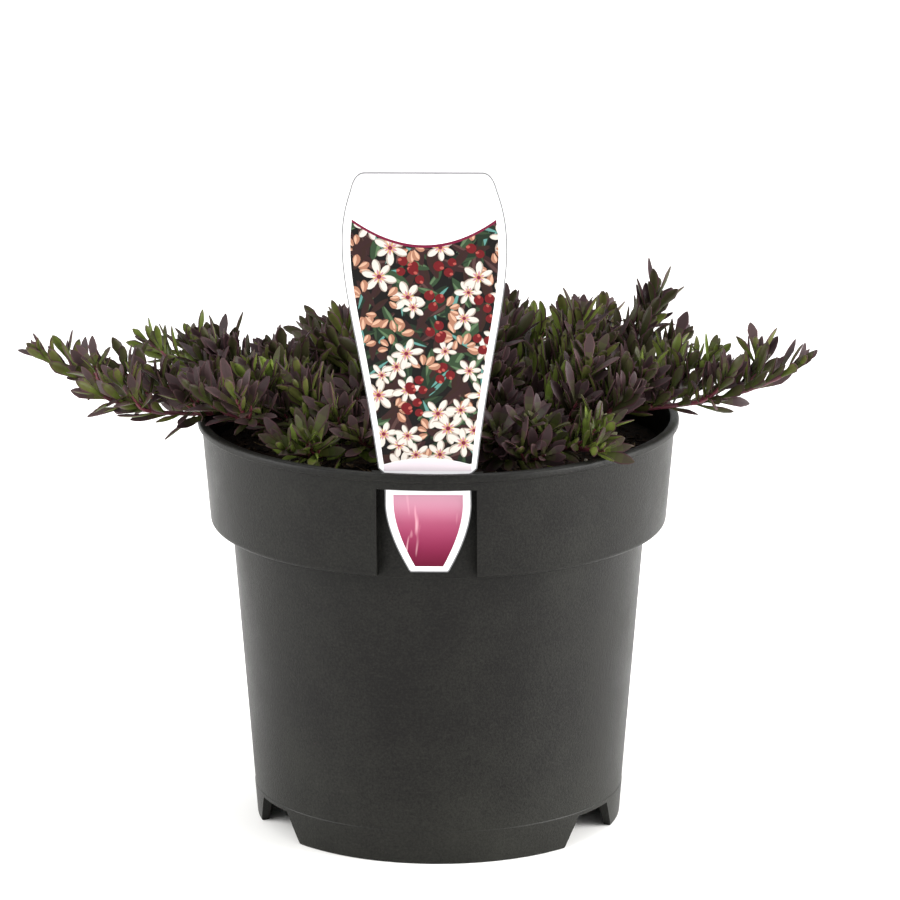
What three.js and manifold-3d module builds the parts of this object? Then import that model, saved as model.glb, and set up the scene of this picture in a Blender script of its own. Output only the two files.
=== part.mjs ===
// A creeping shrub with purple leaves in a black plastic nursery pot, with its plant label.
// Millimetres, +Z up. The origin is the middle of the pot's flat underside, and the label
// faces -Y. Boughs rise from one short crown, and each carries leafy shoots past its fork.

import * as THREE from 'three';
import { mergeVertices } from 'three/addons/utils/BufferGeometryUtils.js';
import Module from 'manifold-3d';

const wasm = await Module();
wasm.setup();
const { Manifold } = wasm;

// Pot
const POT_HEIGHT = 163;
const RIM_RADIUS = 95;
const LIP_HEIGHT = 3.4;
const LIP_OVERHANG = 1.7;
const COLLAR_DEPTH = 40.5;
const COLLAR_TOP_RADIUS = RIM_RADIUS - LIP_OVERHANG;
const COLLAR_BOTTOM_RADIUS = 90.4;
const SHOULDER_DROP = 3.6;
const BODY_TOP_RADIUS = 81.6;
const BASE_RADIUS = 72.3;
const WALL = 1.8;
const FOOT_WIDTH = 3.2;
const CHANNEL_HEIGHT = 10.5;
const CENTRE_DISC_RADIUS = 40;
const CHANNEL_INNER_RADIUS = 46;
const FLOOR = 2;
const POT_SIDES = 44;

// Foot notches and drain holes
const NOTCH_COUNT = 3;
const NOTCH_FIRST_ANGLE = -30;
const NOTCH_HEIGHT = 12;
const NOTCH_FOOT_WIDTH = 36;
const NOTCH_TOP_WIDTH = 21;
const DRAIN_COUNT = 6;
const DRAIN_RADIUS = 4.5;
const DRAIN_RING_RADIUS = 57;
const DRAIN_SIDES = 10;

// Label pocket in the collar, bridged at the top by a band of the rim
const POCKET_HALF_WIDTH = 19.3;
const POCKET_SIDE_WALL = 2;
const POCKET_FLOOR_PROUD = 1.6;
const POCKET_WALL_DROP = 1.5;
const BAND_HEIGHT = 6.5;
const BAND_THICKNESS = 2;
const SLOT_HALF_WIDTH = 17.7;

// Growing mix
const SOIL_EDGE_HEIGHT = 148;
const SOIL_CROWN_HEIGHT = 150;
const SOIL_SIDES = 24;

// Label: heights are measured up from its shoulders, and widths are halves
const LABEL_THICKNESS = 0.6;
const LABEL_HEIGHT = 120.4;
const LABEL_TOP_HALF = 23.1;
const LABEL_WIDEST_HALF = 31.3;
const LABEL_WIDEST_AT = 91;
const LABEL_CORNER_DROP = 12.5;
const LABEL_SHOULDER_HALF = 18.9;
const LABEL_SHOULDER_ROUND = 2.2;
const TONGUE_HALF = 16.6;
const TONGUE_STRAIGHT = 13;
const TONGUE_LENGTH = 40.1;
const TONGUE_TIP_HALF = 7.9;
const LABEL_LEAN = 5;
const LABEL_ROLL = 0.5;
const LABEL_SIDESTEP = 0.45;
const LABEL_STANDS_AT = 88.7;
const LABEL_SINK = 0.8;

// Crown and growth
const GAP = 0.3;
const CROWN_HEAD_RADIUS = 5.4;
const CROWN_WAIST_RADIUS = 6.4;
const CROWN_FLARE = 4;
const CROWN_HEIGHT = 14;
const CROWN_LEAN = 5;
const CROWN_LEAN_TOWARDS = 150;
const BOUGH_LEVELS = [0.42, 0.8];
const BOUGH_START_RADIUS = 1.7;
const BOUGH_FORK_RADIUS = 1.4;
const BOUGH_START_RISE = 32;
const SHOOT_FOOT_RADIUS = 1.25;
const SHOOT_TIP_RADIUS = 1;
const SHOOT_SIDESTEP = 1.35;
const TWIG_RADIUS = 1.1;
const TWIG_LENGTH = 25;
const TWIG_SPACING = 21;
const TWIG_LIFT = 1.5;
const BEND = 0.36;
const STEEP = 0.99;

// Leaves
const LEAF_LENGTH = 20.5;
const LEAF_WIDTH = 8;
const LEAF_THICKNESS = 1.7;
const LEAF_WIDEST_AT = 0.54;
const LEAF_SET_BACK = 0.2;
const LEAF_NECK_SHARE = 0.25;
const LEAF_SPACING = 5.8;
const LEAF_ANGLE_LOW = 62;
const LEAF_ANGLE_TIP = 26;
const LEAF_LIGHT_PULL = 0.45;
const LEAF_SAG = 0.4;
const LEAF_ROWS = 3;
const LEAF_FIRST_ROW = 30;
const LEAF_JITTER = 40;
const LEAF_TURN_TRIES = [0, 25, -25, 120, -120];
const LEAF_MARGIN = 0.3;
const SLIVER = 0.02;
const SEED = 48;

// Each bough: name, compass angle from +X, fork's distance from the axis, fork's height
// over the rim, then its shoots. Each shoot: compass angle, distance and height over the
// rim of its stem's tip, and how steeply it ends.
const BOUGHS = [
  ['front_mid', -85, 24, -5, [[-101, 56, 9, 48], [-42, 38, 10, 60]]],
  ['front', -51, 36, -6, [[-66, 62, 7, 42], [-57, 82, 2, 32], [-46, 97, 4, 6]]],
  ['front_right', -24, 34, -3, [[-24, 84, 18, 52], [-8, 62, 25, 74]]],
  ['right_front', -6, 44, 1, [[-6, 144, 26, 36], [3, 110, 23, 50]]],
  ['right', 14, 36, -3, [[7, 58, 16, 66], [20, 100, 21, 46]]],
  ['right_rear', 33, 36, 1, [[27, 62, 33, 78], [35, 102, 32, 54]]],
  ['rear_right', 59, 36, -2, [[48, 96, 25, 56], [72, 108, 13, 38]]],
  ['rear_mid', 85, 36, -3, [[68, 72, 25, 66], [96, 120, 12, 32]]],
  ['rear', 115, 36, -3, [[103, 74, 24, 62], [121, 112, 10, 34]]],
  ['rear_left', 137, 34, -4, [[129, 64, 24, 70], [141, 92, 9, 44]]],
  ['left_rear', 161, 42, -2, [[150, 110, 14, 40], [159, 128, 17, 36], [169, 94, 22, 56]]],
  ['left', 183, 50, 1, [[177, 160, 21, 38], [190, 138, 15, 36]]],
  ['left_front', 206, 38, -4, [[198, 78, 21, 64], [206, 102, 19, 46]]],
  ['front_left', 231, 30, -6, [[215, 64, 18, 60], [227, 84, 2, 38], [243, 62, 5, 46]]],
];

// Shoots that rise from the head of the crown itself.
const CENTRE_SHOOTS = [[50, 26, 27, 80], [150, 34, 22, 74], [250, 24, 17, 76], [335, 30, 20, 74]];

const radians = THREE.MathUtils.degToRad;

// A repeatable stream of numbers from 0 to 1.
function randomStream(seed) {
  let state = seed;
  return () => {
    state = (state * 1664525 + 1013904223) % 4294967296;
    return state / 4294967296;
  };
}

function heading(angle, rise) {
  const flat = Math.cos(radians(rise));
  return new THREE.Vector3(
    flat * Math.cos(radians(angle)), flat * Math.sin(radians(angle)), Math.sin(radians(rise)));
}

function polar(angle, reach, height) {
  return heading(angle, 0).multiplyScalar(reach).setZ(height);
}

// Turning a geometry into a solid that can be cut and joined, and back again.
function solid(geometry) {
  geometry.deleteAttribute('normal');
  geometry.deleteAttribute('uv');
  const merged = mergeVertices(geometry, 1e-4);
  return new Manifold(new wasm.Mesh({
    numProp: 3,
    vertProperties: merged.attributes.position.array,
    triVerts: new Uint32Array(merged.index.array),
  }));
}

function geometryOf(shape) {
  const { vertProperties, triVerts } = shape.getMesh();
  const geometry = new THREE.BufferGeometry();
  geometry.setAttribute('position', new THREE.BufferAttribute(vertProperties, 3));
  geometry.setIndex(new THREE.BufferAttribute(triVerts, 1));
  geometry.computeVertexNormals();
  return geometry;
}

// The body of revolution of a profile of [radius, height] points, from axis to axis.
function turned(profile, sides) {
  const points = profile.map(([radius, height]) => new THREE.Vector2(radius, height));
  return solid(new THREE.LatheGeometry(points, sides).rotateX(Math.PI / 2));
}

function block(low, high) {
  const size = new THREE.Vector3().subVectors(high, low);
  const middle = new THREE.Vector3().addVectors(low, high).multiplyScalar(0.5);
  return solid(new THREE.BoxGeometry(...size).translate(...middle));
}

function bodyRadius(height) {
  const slope = (BODY_TOP_RADIUS - BASE_RADIUS) / (POT_HEIGHT - COLLAR_DEPTH);
  return BASE_RADIUS + slope * height;
}

const collarFoot = POT_HEIGHT - COLLAR_DEPTH;
const shoulderFoot = collarFoot - SHOULDER_DROP;
const lipFoot = POT_HEIGHT - LIP_HEIGHT;

// The pot's inner wall from the rim down to the axis, moved inwards by a margin.
function innerWall(margin) {
  const floor = FLOOR + margin;
  return [
    [COLLAR_TOP_RADIUS - WALL - margin, lipFoot],
    [COLLAR_BOTTOM_RADIUS - WALL - margin, collarFoot + WALL + margin],
    [BODY_TOP_RADIUS - WALL - margin, shoulderFoot + WALL + margin],
    [BASE_RADIUS - WALL - margin, CHANNEL_HEIGHT + floor],
    [CHANNEL_INNER_RADIUS - margin, CHANNEL_HEIGHT + floor],
    [CENTRE_DISC_RADIUS - margin, floor],
    [0, floor],
  ];
}

function outerWall() {
  return [
    [0, 0],
    [CENTRE_DISC_RADIUS + FLOOR / 2, 0],
    [CHANNEL_INNER_RADIUS + FLOOR / 2, CHANNEL_HEIGHT],
    [BASE_RADIUS - FOOT_WIDTH, CHANNEL_HEIGHT],
    [BASE_RADIUS - FOOT_WIDTH, 0],
    [BASE_RADIUS, 0],
    [BODY_TOP_RADIUS, shoulderFoot],
    [COLLAR_BOTTOM_RADIUS - 1.6, collarFoot - 1.6],
    [COLLAR_BOTTOM_RADIUS, collarFoot],
    [COLLAR_TOP_RADIUS, lipFoot],
    [RIM_RADIUS, lipFoot + 0.6],
    [RIM_RADIUS, POT_HEIGHT - 0.8],
    [RIM_RADIUS - 0.8, POT_HEIGHT],
  ];
}

// A cone that stands for the pocket's floor, or for the space inside the floor's wall.
function pocketCore(inset) {
  const low = shoulderFoot - 10;
  const high = POT_HEIGHT + 10;
  const proud = POCKET_FLOOR_PROUD - inset;
  return turned([
    [0, low], [bodyRadius(low) + proud, low], [bodyRadius(high) + proud, high], [0, high],
  ], POT_SIDES);
}

function pocketBlock(halfWidth, low, high) {
  return block(
    new THREE.Vector3(-halfWidth, -RIM_RADIUS - 5, low),
    new THREE.Vector3(halfWidth, -BASE_RADIUS / 2, high));
}

function footNotch(angle) {
  const outline = new THREE.Shape([
    new THREE.Vector2(-NOTCH_FOOT_WIDTH / 2, -1),
    new THREE.Vector2(NOTCH_FOOT_WIDTH / 2, -1),
    new THREE.Vector2(NOTCH_TOP_WIDTH / 2, NOTCH_HEIGHT),
    new THREE.Vector2(-NOTCH_TOP_WIDTH / 2, NOTCH_HEIGHT),
  ]);
  const depth = FOOT_WIDTH * 6;
  const prism = new THREE.ExtrudeGeometry(outline, { depth, bevelEnabled: false });
  prism.rotateX(Math.PI / 2).translate(0, -BASE_RADIUS + depth - FOOT_WIDTH * 3, 0);
  return solid(prism.rotateZ(radians(angle + 90)));
}

function drainHole(angle) {
  const { x, y } = polar(angle, DRAIN_RING_RADIUS, 0);
  const hole = new THREE.CylinderGeometry(DRAIN_RADIUS, DRAIN_RADIUS, 4 * FLOOR, DRAIN_SIDES);
  return solid(hole.rotateX(Math.PI / 2).translate(x, y, CHANNEL_HEIGHT + FLOOR / 2));
}

function buildPot() {
  const filled = turned([...outerWall(), [0, POT_HEIGHT]], POT_SIDES);
  const inner = [RIM_RADIUS - LIP_OVERHANG - WALL, POT_HEIGHT];
  const shell = turned([...outerWall(), inner, ...innerWall(0)], POT_SIDES);
  const wallTop = POT_HEIGHT - POCKET_WALL_DROP;
  const floorWall = pocketBlock(POCKET_HALF_WIDTH + POCKET_SIDE_WALL, shoulderFoot, wallTop)
    .intersect(filled)
    .subtract(pocketCore(WALL));
  const bandRadius = COLLAR_TOP_RADIUS - BAND_THICKNESS;
  const insideBand = turned([
    [0, collarFoot], [bandRadius, collarFoot], [bandRadius, POT_HEIGHT + 5], [0, POT_HEIGHT + 5],
  ], POT_SIDES);
  const pocket = pocketBlock(POCKET_HALF_WIDTH, shoulderFoot - 2, POT_HEIGHT - BAND_HEIGHT)
    .subtract(pocketCore(0));
  const slot = pocketBlock(SLOT_HALF_WIDTH, POT_HEIGHT - BAND_HEIGHT - 1, POT_HEIGHT + 4)
    .intersect(insideBand)
    .subtract(pocketCore(0));
  const cuts = [pocket, slot];
  for (let i = 0; i < NOTCH_COUNT; i++) {
    cuts.push(footNotch(NOTCH_FIRST_ANGLE + (i * 360) / NOTCH_COUNT));
  }
  for (let i = 0; i < DRAIN_COUNT; i++) {
    cuts.push(drainHole((i * 360) / DRAIN_COUNT));
  }
  return shell.add(floorWall).subtract(Manifold.union(cuts));
}

function buildSoil() {
  const wall = innerWall(GAP).reverse();
  const [topRadius, topHeight] = wall.pop();
  const [lowRadius, lowHeight] = wall[wall.length - 1];
  const share = (SOIL_EDGE_HEIGHT - lowHeight) / (topHeight - lowHeight);
  const edge = [lowRadius + (topRadius - lowRadius) * share, SOIL_EDGE_HEIGHT];
  const middle = [edge[0] * 0.55, (SOIL_EDGE_HEIGHT + SOIL_CROWN_HEIGHT) / 2 + 0.5];
  const mound = turned([...wall, edge, middle, [0, SOIL_CROWN_HEIGHT]], SOIL_SIDES);
  const pocket = pocketBlock(
    POCKET_HALF_WIDTH + POCKET_SIDE_WALL + GAP, shoulderFoot - GAP, POT_HEIGHT);
  return mound.subtract(pocket.subtract(pocketCore(WALL + GAP)));
}

function labelOutline() {
  const right = [LABEL_WIDEST_HALF, LABEL_WIDEST_AT];
  const cornerHeight = LABEL_HEIGHT - LABEL_CORNER_DROP;
  const outline = new THREE.Shape();
  outline.moveTo(-TONGUE_TIP_HALF, -TONGUE_LENGTH);
  outline.lineTo(TONGUE_TIP_HALF, -TONGUE_LENGTH);
  outline.quadraticCurveTo(TONGUE_HALF - 0.5, -TONGUE_LENGTH * 0.6, TONGUE_HALF, -TONGUE_STRAIGHT);
  outline.lineTo(TONGUE_HALF, 0);
  outline.lineTo(LABEL_SHOULDER_HALF - LABEL_SHOULDER_ROUND, 0);
  outline.lineTo(LABEL_SHOULDER_HALF, LABEL_SHOULDER_ROUND);
  outline.bezierCurveTo(LABEL_SHOULDER_HALF + 5.3, 48, right[0], 70, ...right);
  outline.bezierCurveTo(
    right[0], cornerHeight - 6, LABEL_TOP_HALF + 6.4, cornerHeight, LABEL_TOP_HALF + 4.6,
    LABEL_HEIGHT - 7);
  outline.quadraticCurveTo(LABEL_TOP_HALF + 3, LABEL_HEIGHT, LABEL_TOP_HALF - 1, LABEL_HEIGHT);
  const half = outline.getPoints(5);
  const mirrored = half.map(({ x, y }) => new THREE.Vector2(-x, y)).reverse();
  return new THREE.Shape([...half.slice(1), ...mirrored.slice(0, -2)]);
}

function buildLabel() {
  const plate = new THREE.ExtrudeGeometry(
    labelOutline(), { depth: LABEL_THICKNESS, bevelEnabled: false });
  plate.translate(0, 0, -LABEL_THICKNESS / 2);
  return solid(plate);
}

// Directions across a curve at a share of its length: level to one side, and upwards.
function frameAt(curve, share) {
  const tangent = curve.getTangentAt(share);
  const steep = Math.abs(tangent.z) > STEEP;
  const side = new THREE.Vector3(steep ? 1 : 0, 0, steep ? 0 : 1).cross(tangent).normalize();
  const up = new THREE.Vector3().crossVectors(tangent, side);
  return { place: curve.getPointAt(share), tangent, side, up };
}

// The direction that lies at an angle round the curve from its level side.
function roundFrame({ side, up }, angle) {
  const out = side.clone().multiplyScalar(Math.cos(radians(angle)));
  return out.addScaledVector(up, Math.sin(radians(angle)));
}

// A limb along a curve: a cylinder whose rings are carried onto the curve and sized there.
function limb(curve, radiusAt, sides, steps) {
  const tube = new THREE.CylinderGeometry(1, 1, 1, sides, steps);
  const position = tube.attributes.position;
  const point = new THREE.Vector3();
  for (let i = 0; i < position.count; i++) {
    point.fromBufferAttribute(position, i);
    const share = Math.round((point.y + 0.5) * steps) / steps;
    const radius = radiusAt(share);
    const { place, side, up } = frameAt(curve, share);
    place.addScaledVector(up, point.x * radius).addScaledVector(side, point.z * radius);
    position.setXYZ(i, place.x, place.y, place.z);
  }
  return solid(tube);
}

function taper(foot, tip) {
  return (share) => foot + (tip - foot) * share;
}

// A curve from one place to another that leaves and arrives along given headings.
function sweep(from, leaving, to, arriving) {
  const reach = from.distanceTo(to) * BEND;
  return new THREE.CubicBezierCurve3(
    from,
    from.clone().addScaledVector(leaving, reach),
    to.clone().addScaledVector(arriving, -reach),
    to);
}

// A kite-shaped leaf of four faces, ridged above and creased across below. A margin
// grows it on every side.
function leafSolid(place, along, face, size, margin = 0) {
  const across = new THREE.Vector3().crossVectors(along, face).normalize();
  const up = new THREE.Vector3().crossVectors(across, along);
  const length = LEAF_LENGTH * size;
  const halfWidth = (LEAF_WIDTH / 2) * size + 2 * margin;
  const corner = (forward, aside, lift) => place.clone()
    .addScaledVector(along, forward)
    .addScaledVector(across, aside)
    .addScaledVector(up, lift);
  const leaf = new THREE.BufferGeometry().setFromPoints([
    corner(-margin, 0, margin),
    corner(length + 2 * margin, 0, margin),
    corner(LEAF_WIDEST_AT * length, -halfWidth, -LEAF_THICKNESS - margin),
    corner(LEAF_WIDEST_AT * length, halfWidth, -LEAF_THICKNESS - margin),
  ]);
  leaf.setIndex([0, 1, 2, 0, 3, 1, 0, 2, 3, 1, 3, 2]);
  return solid(leaf);
}

// The leaves' places along a twig, in three rows round it, one leaf to each face in turn.
function leafPlaces(curve, from, random) {
  const count = Math.max(4, Math.round((curve.getLength() * (1 - from)) / LEAF_SPACING));
  const first = Math.floor(random() * LEAF_ROWS);
  const places = [];
  for (let i = 0; i <= count; i++) {
    const share = from + ((0.985 - from) * i) / count;
    const spread = THREE.MathUtils.lerp(LEAF_ANGLE_LOW, LEAF_ANGLE_TIP, share ** 2);
    const size = (0.82 + 0.3 * random()) * (i === count ? 0.85 : 1);
    const turn = LEAF_FIRST_ROW + ((first + i) * 360) / LEAF_ROWS + LEAF_JITTER * (random() - 0.5);
    places.push({ share, turn, spread, size });
  }
  return places;
}

// A leaf stands out from its twig at its spread, turned round it, and pulled to the light.
function leafHeading(frame, { turn, spread }, extraTurn) {
  const along = frame.tangent.clone().multiplyScalar(Math.cos(radians(spread)));
  along.addScaledVector(roundFrame(frame, turn + extraTurn), Math.sin(radians(spread)));
  along.z += LEAF_LIGHT_PULL;
  along.z *= along.z < 0 ? LEAF_SAG : 1;
  return along.normalize();
}

// What new growth must keep clear of: solids with their boxes and the shoot they belong to.
class Surroundings {
  constructor() {
    this.things = [];
  }

  add(shape, owner) {
    const { min, max } = shape.boundingBox();
    const box = new THREE.Box3(new THREE.Vector3(...min), new THREE.Vector3(...max));
    this.things.push({ shape, owner, box });
  }

  blocks(shape, counts) {
    const { min, max } = shape.boundingBox();
    const box = new THREE.Box3(new THREE.Vector3(...min), new THREE.Vector3(...max));
    return this.things.some((thing) => counts(thing.owner)
      && thing.box.intersectsBox(box)
      && !thing.shape.intersect(shape).isEmpty());
  }
}

// The crown narrows upwards from a flare at the soil.
function crownRadius(share) {
  const flare = CROWN_FLARE * Math.max(0, 1 - share * 3) ** 2;
  return taper(CROWN_WAIST_RADIUS, CROWN_HEAD_RADIUS)(share) + flare;
}

function crownCurve() {
  const foot = new THREE.Vector3(0, 0, SOIL_CROWN_HEIGHT + GAP);
  const top = heading(CROWN_LEAN_TOWARDS, 90 - CROWN_LEAN);
  const head = foot.clone().addScaledVector(top, CROWN_HEIGHT);
  return sweep(foot, new THREE.Vector3(0, 0, 1), head, top);
}

// A bough starts on the crown at one of two levels in turn, and arches to its fork.
function boughCurve(crown, order, angle, reach, rise) {
  const level = BOUGH_LEVELS[order % BOUGH_LEVELS.length];
  const standOff = BOUGH_START_RADIUS * Math.sin(radians(BOUGH_START_RISE)) + GAP;
  const start = crown.getPointAt(level);
  start.addScaledVector(heading(angle, 0), crownRadius(level) + standOff);
  const fork = polar(angle, reach, POT_HEIGHT + rise);
  return sweep(start, heading(angle, BOUGH_START_RISE), fork, heading(angle, 6));
}

// The stem of a shoot starts just past the fork, beside the stem that shares it.
function shootCurve(bough, index, count, [angle, reach, rise, steepness]) {
  const fork = bough.getPointAt(1);
  const leaving = bough.getTangentAt(1);
  const side = new THREE.Vector3(0, 0, 1).cross(leaving).normalize();
  const tip = polar(angle, reach, POT_HEIGHT + rise);
  const towards = tip.clone().sub(fork);
  const order = count === 1 ? 0 : index - (count - 1) / 2;
  const start = fork.clone().addScaledVector(leaving, GAP);
  start.addScaledVector(side, order * 2 * SHOOT_SIDESTEP);
  const setOff = leaving.clone().add(towards.normalize()).normalize();
  return sweep(start, setOff, tip, heading(angle, steepness));
}

// Side twigs leave the stem to left and right in turn, and lift towards the light.
function twigCurve(stem, share, hand, random) {
  const place = stem.getPointAt(share);
  const tangent = stem.getTangentAt(share);
  const side = new THREE.Vector3(0, 0, 1).cross(tangent).normalize().multiplyScalar(hand);
  const leaving = tangent.clone().addScaledVector(side, 0.5 + 0.5 * random()).normalize();
  const length = TWIG_LENGTH * (0.8 + 0.4 * random()) * (1.15 - 0.5 * share);
  const arriving = leaving.clone().setZ(leaving.z + TWIG_LIFT).normalize();
  const tip = place.clone().addScaledVector(leaving, length * 0.45);
  tip.addScaledVector(arriving, length * 0.55);
  return sweep(place, leaving, tip, arriving);
}

class Shoot {
  constructor(name, curve) {
    this.name = name;
    this.curve = curve;
    this.parts = [limb(curve, taper(SHOOT_FOOT_RADIUS, SHOOT_TIP_RADIUS), 3, 4)];
    this.twigs = [{ curve, bareShare: 0.14 }];
  }

  others() {
    return (owner) => owner !== this.name;
  }

  growTwigs(around, random) {
    const length = this.curve.getLength();
    const count = Math.max(1, Math.round(length / TWIG_SPACING) - 1);
    for (let i = 0; i < count; i++) {
      const share = 0.16 + (0.66 * (i + 0.5 * random())) / count;
      const curve = twigCurve(this.curve, share, i % 2 ? 1 : -1, random);
      const twig = limb(curve, taper(TWIG_RADIUS, SHOOT_TIP_RADIUS), 3, 2);
      if (!around.blocks(twig, this.others())) {
        this.parts.push(twig);
        this.twigs.push({ curve, bareShare: 0.3 });
        around.add(twig, this.name);
      }
    }
  }

  // A leaf is tried at a few turns, and left out where each one would meet other growth.
  growLeaf(curve, spot, around) {
    const frame = frameAt(curve, spot.share);
    const { place, tangent: face } = frame;
    for (const extraTurn of LEAF_TURN_TRIES) {
      const along = leafHeading(frame, spot, extraTurn);
      const outer = place.clone().addScaledVector(along, LEAF_LENGTH * LEAF_NECK_SHARE);
      const blade = leafSolid(outer, along, face, spot.size * (1 - LEAF_NECK_SHARE));
      const roomy = leafSolid(place, along, face, spot.size, LEAF_MARGIN);
      const clear = !around.blocks(blade, (owner) => owner === this.name)
        && !around.blocks(roomy, this.others());
      if (clear) {
        const root = place.clone().addScaledVector(along, -LEAF_SET_BACK);
        const leaf = leafSolid(root, along, face, spot.size);
        this.parts.push(leaf);
        around.add(leaf, this.name);
        return;
      }
    }
  }

  // The joined shoot, with slivers smoothed away and any scrap they leave dropped.
  whole() {
    const pieces = Manifold.union(this.parts).asOriginal().simplify(SLIVER).decompose();
    return pieces.sort((one, other) => other.volume() - one.volume())[0];
  }
}

function startBoughs(crown, around) {
  const nodes = [];
  const shoots = [];
  BOUGHS.forEach(([name, angle, reach, rise, tips], order) => {
    const curve = boughCurve(crown, order, angle, reach, rise);
    const bough = limb(curve, taper(BOUGH_START_RADIUS, BOUGH_FORK_RADIUS), 5, 4);
    nodes.push([`bough_${name}`, bough]);
    around.add(bough, name);
    tips.forEach((tip, index) => {
      const stem = shootCurve(curve, index, tips.length, tip);
      shoots.push(new Shoot(`shoot_${name}_${index + 1}`, stem));
    });
  });
  return { nodes, shoots };
}

function startCentreShoots(crown) {
  return CENTRE_SHOOTS.map(([angle, reach, rise, steepness], index) => {
    const head = crown.getPointAt(1);
    const start = head.addScaledVector(heading(angle, 0), CROWN_HEAD_RADIUS * 0.5);
    start.addScaledVector(crown.getTangentAt(1), 3 * GAP);
    const tip = polar(angle, reach, POT_HEIGHT + rise);
    return new Shoot(
      `shoot_centre_${index + 1}`, sweep(start, heading(angle, 60), tip, heading(angle, steepness)));
  });
}

function growPlant(fixed) {
  const random = randomStream(SEED);
  const around = new Surroundings();
  const crown = crownCurve();
  const trunk = limb(crown, crownRadius, 12, 6);
  [...fixed, trunk].forEach((shape) => around.add(shape, 'fixed'));
  const { nodes, shoots } = startBoughs(crown, around);
  shoots.push(...startCentreShoots(crown));
  shoots.forEach((shoot) => around.add(shoot.parts[0], shoot.name));
  shoots.forEach((shoot) => shoot.growTwigs(around, random));
  const spots = shoots.flatMap((shoot) => shoot.twigs.flatMap(({ curve, bareShare }) => (
    leafPlaces(curve, bareShare, random).map((spot) => ({ shoot, curve, spot, rank: random() })))));
  spots.sort((one, other) => one.rank - other.rank);
  spots.forEach(({ shoot, curve, spot }) => shoot.growLeaf(curve, spot, around));
  return [['crown', trunk], ...nodes, ...shoots.map((shoot) => [shoot.name, shoot.whole()])];
}

const MATERIALS = {
  pot: new THREE.MeshStandardMaterial({ color: 0x38393a, roughness: 0.5, metalness: 0 }),
  soil: new THREE.MeshStandardMaterial({ color: 0x1d1712, roughness: 1, metalness: 0 }),
  label: new THREE.MeshStandardMaterial({ color: 0xf6f5f6, roughness: 0.35, metalness: 0 }),
  bark: new THREE.MeshStandardMaterial({ color: 0x4a3430, roughness: 0.85, metalness: 0 }),
  leaf: new THREE.MeshStandardMaterial({ color: 0x4d4648, roughness: 0.55, metalness: 0 }),
};

const plant = new THREE.Group();

function place(name, shape, material) {
  const mesh = new THREE.Mesh(geometryOf(shape), MATERIALS[material]);
  mesh.name = name;
  plant.add(mesh);
  return mesh;
}

const pot = buildPot();
const soil = buildSoil();
const label = buildLabel();
place('pot', pot, 'pot');
place('soil', soil, 'soil');
const tag = place('label', label, 'label');
tag.rotation.set(radians(90 + LABEL_LEAN), 0, radians(LABEL_ROLL), 'XZY');
tag.position.set(LABEL_SIDESTEP, -LABEL_STANDS_AT, POT_HEIGHT - LABEL_SINK);
tag.updateMatrix();
const standing = label.transform(tag.matrix.toArray());
for (const [name, shape] of growPlant([pot, soil, standing])) {
  place(name, shape, name.startsWith('shoot') ? 'leaf' : 'bark');
}

export default plant;
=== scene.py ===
"""A potted creeping shrub with purple leaves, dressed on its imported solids.

The frame is the solids' own: the origin is the middle of the pot's flat underside, +Z is up
and the plant label faces -Y. Sizes in the classes are in millimetres, and meshes in metres.
The shrub grows by the same rule as the solids, carried to finer twigs and smaller leaves.
"""

import bisect
import logging
import random
from collections import defaultdict
from collections.abc import Callable, Iterable, Sequence
from dataclasses import dataclass, field
from enum import Enum, IntEnum
from itertools import product
from math import atan2, ceil, cos, floor, hypot, pi, radians, sin, tan, tau

import bmesh
import bpy
import numpy as np
from bpy.types import ID, Material, Mesh, Node, NodeOutputs, NodeSocket, NodeTree, Object
from mathutils import Matrix, Vector, noise
from mathutils.geometry import delaunay_2d_cdt

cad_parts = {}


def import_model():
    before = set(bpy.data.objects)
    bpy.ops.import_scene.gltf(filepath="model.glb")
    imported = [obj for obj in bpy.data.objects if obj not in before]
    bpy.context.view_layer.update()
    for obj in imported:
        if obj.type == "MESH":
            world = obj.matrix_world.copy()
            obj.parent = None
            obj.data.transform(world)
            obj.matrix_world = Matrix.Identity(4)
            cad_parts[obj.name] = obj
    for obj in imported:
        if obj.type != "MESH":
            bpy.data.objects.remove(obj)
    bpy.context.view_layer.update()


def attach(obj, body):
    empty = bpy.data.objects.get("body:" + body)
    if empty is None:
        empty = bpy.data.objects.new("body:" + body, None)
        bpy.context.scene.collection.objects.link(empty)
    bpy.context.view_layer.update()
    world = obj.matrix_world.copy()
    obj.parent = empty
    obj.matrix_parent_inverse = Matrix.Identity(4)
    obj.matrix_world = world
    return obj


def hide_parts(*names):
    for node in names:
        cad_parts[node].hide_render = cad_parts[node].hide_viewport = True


MM = 0.001
BODY = "root"
ROUNDING_SHARE = 0.48
ON_AXIS = 1e-6
LEAST_CURL = 1e-3
Colour = tuple[float, float, float, float]
Line = list[Vector]
Skin = Callable[[float, float], float]
log = logging.getLogger("potted_shrub")


def linear(colour: str) -> Colour:
    """Turn an sRGB hex colour into a linear one.

    Args:
        colour: The colour as #rrggbb.

    Returns:
        Its linear red, green and blue, and an alpha of one.
    """
    shares = [int(colour[i : i + 2], 16) / 255 for i in (1, 3, 5)]
    parts = [s / 12.92 if s <= 0.04045 else ((s + 0.055) / 1.055) ** 2.4 for s in shares]
    return *parts, 1.0


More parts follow.
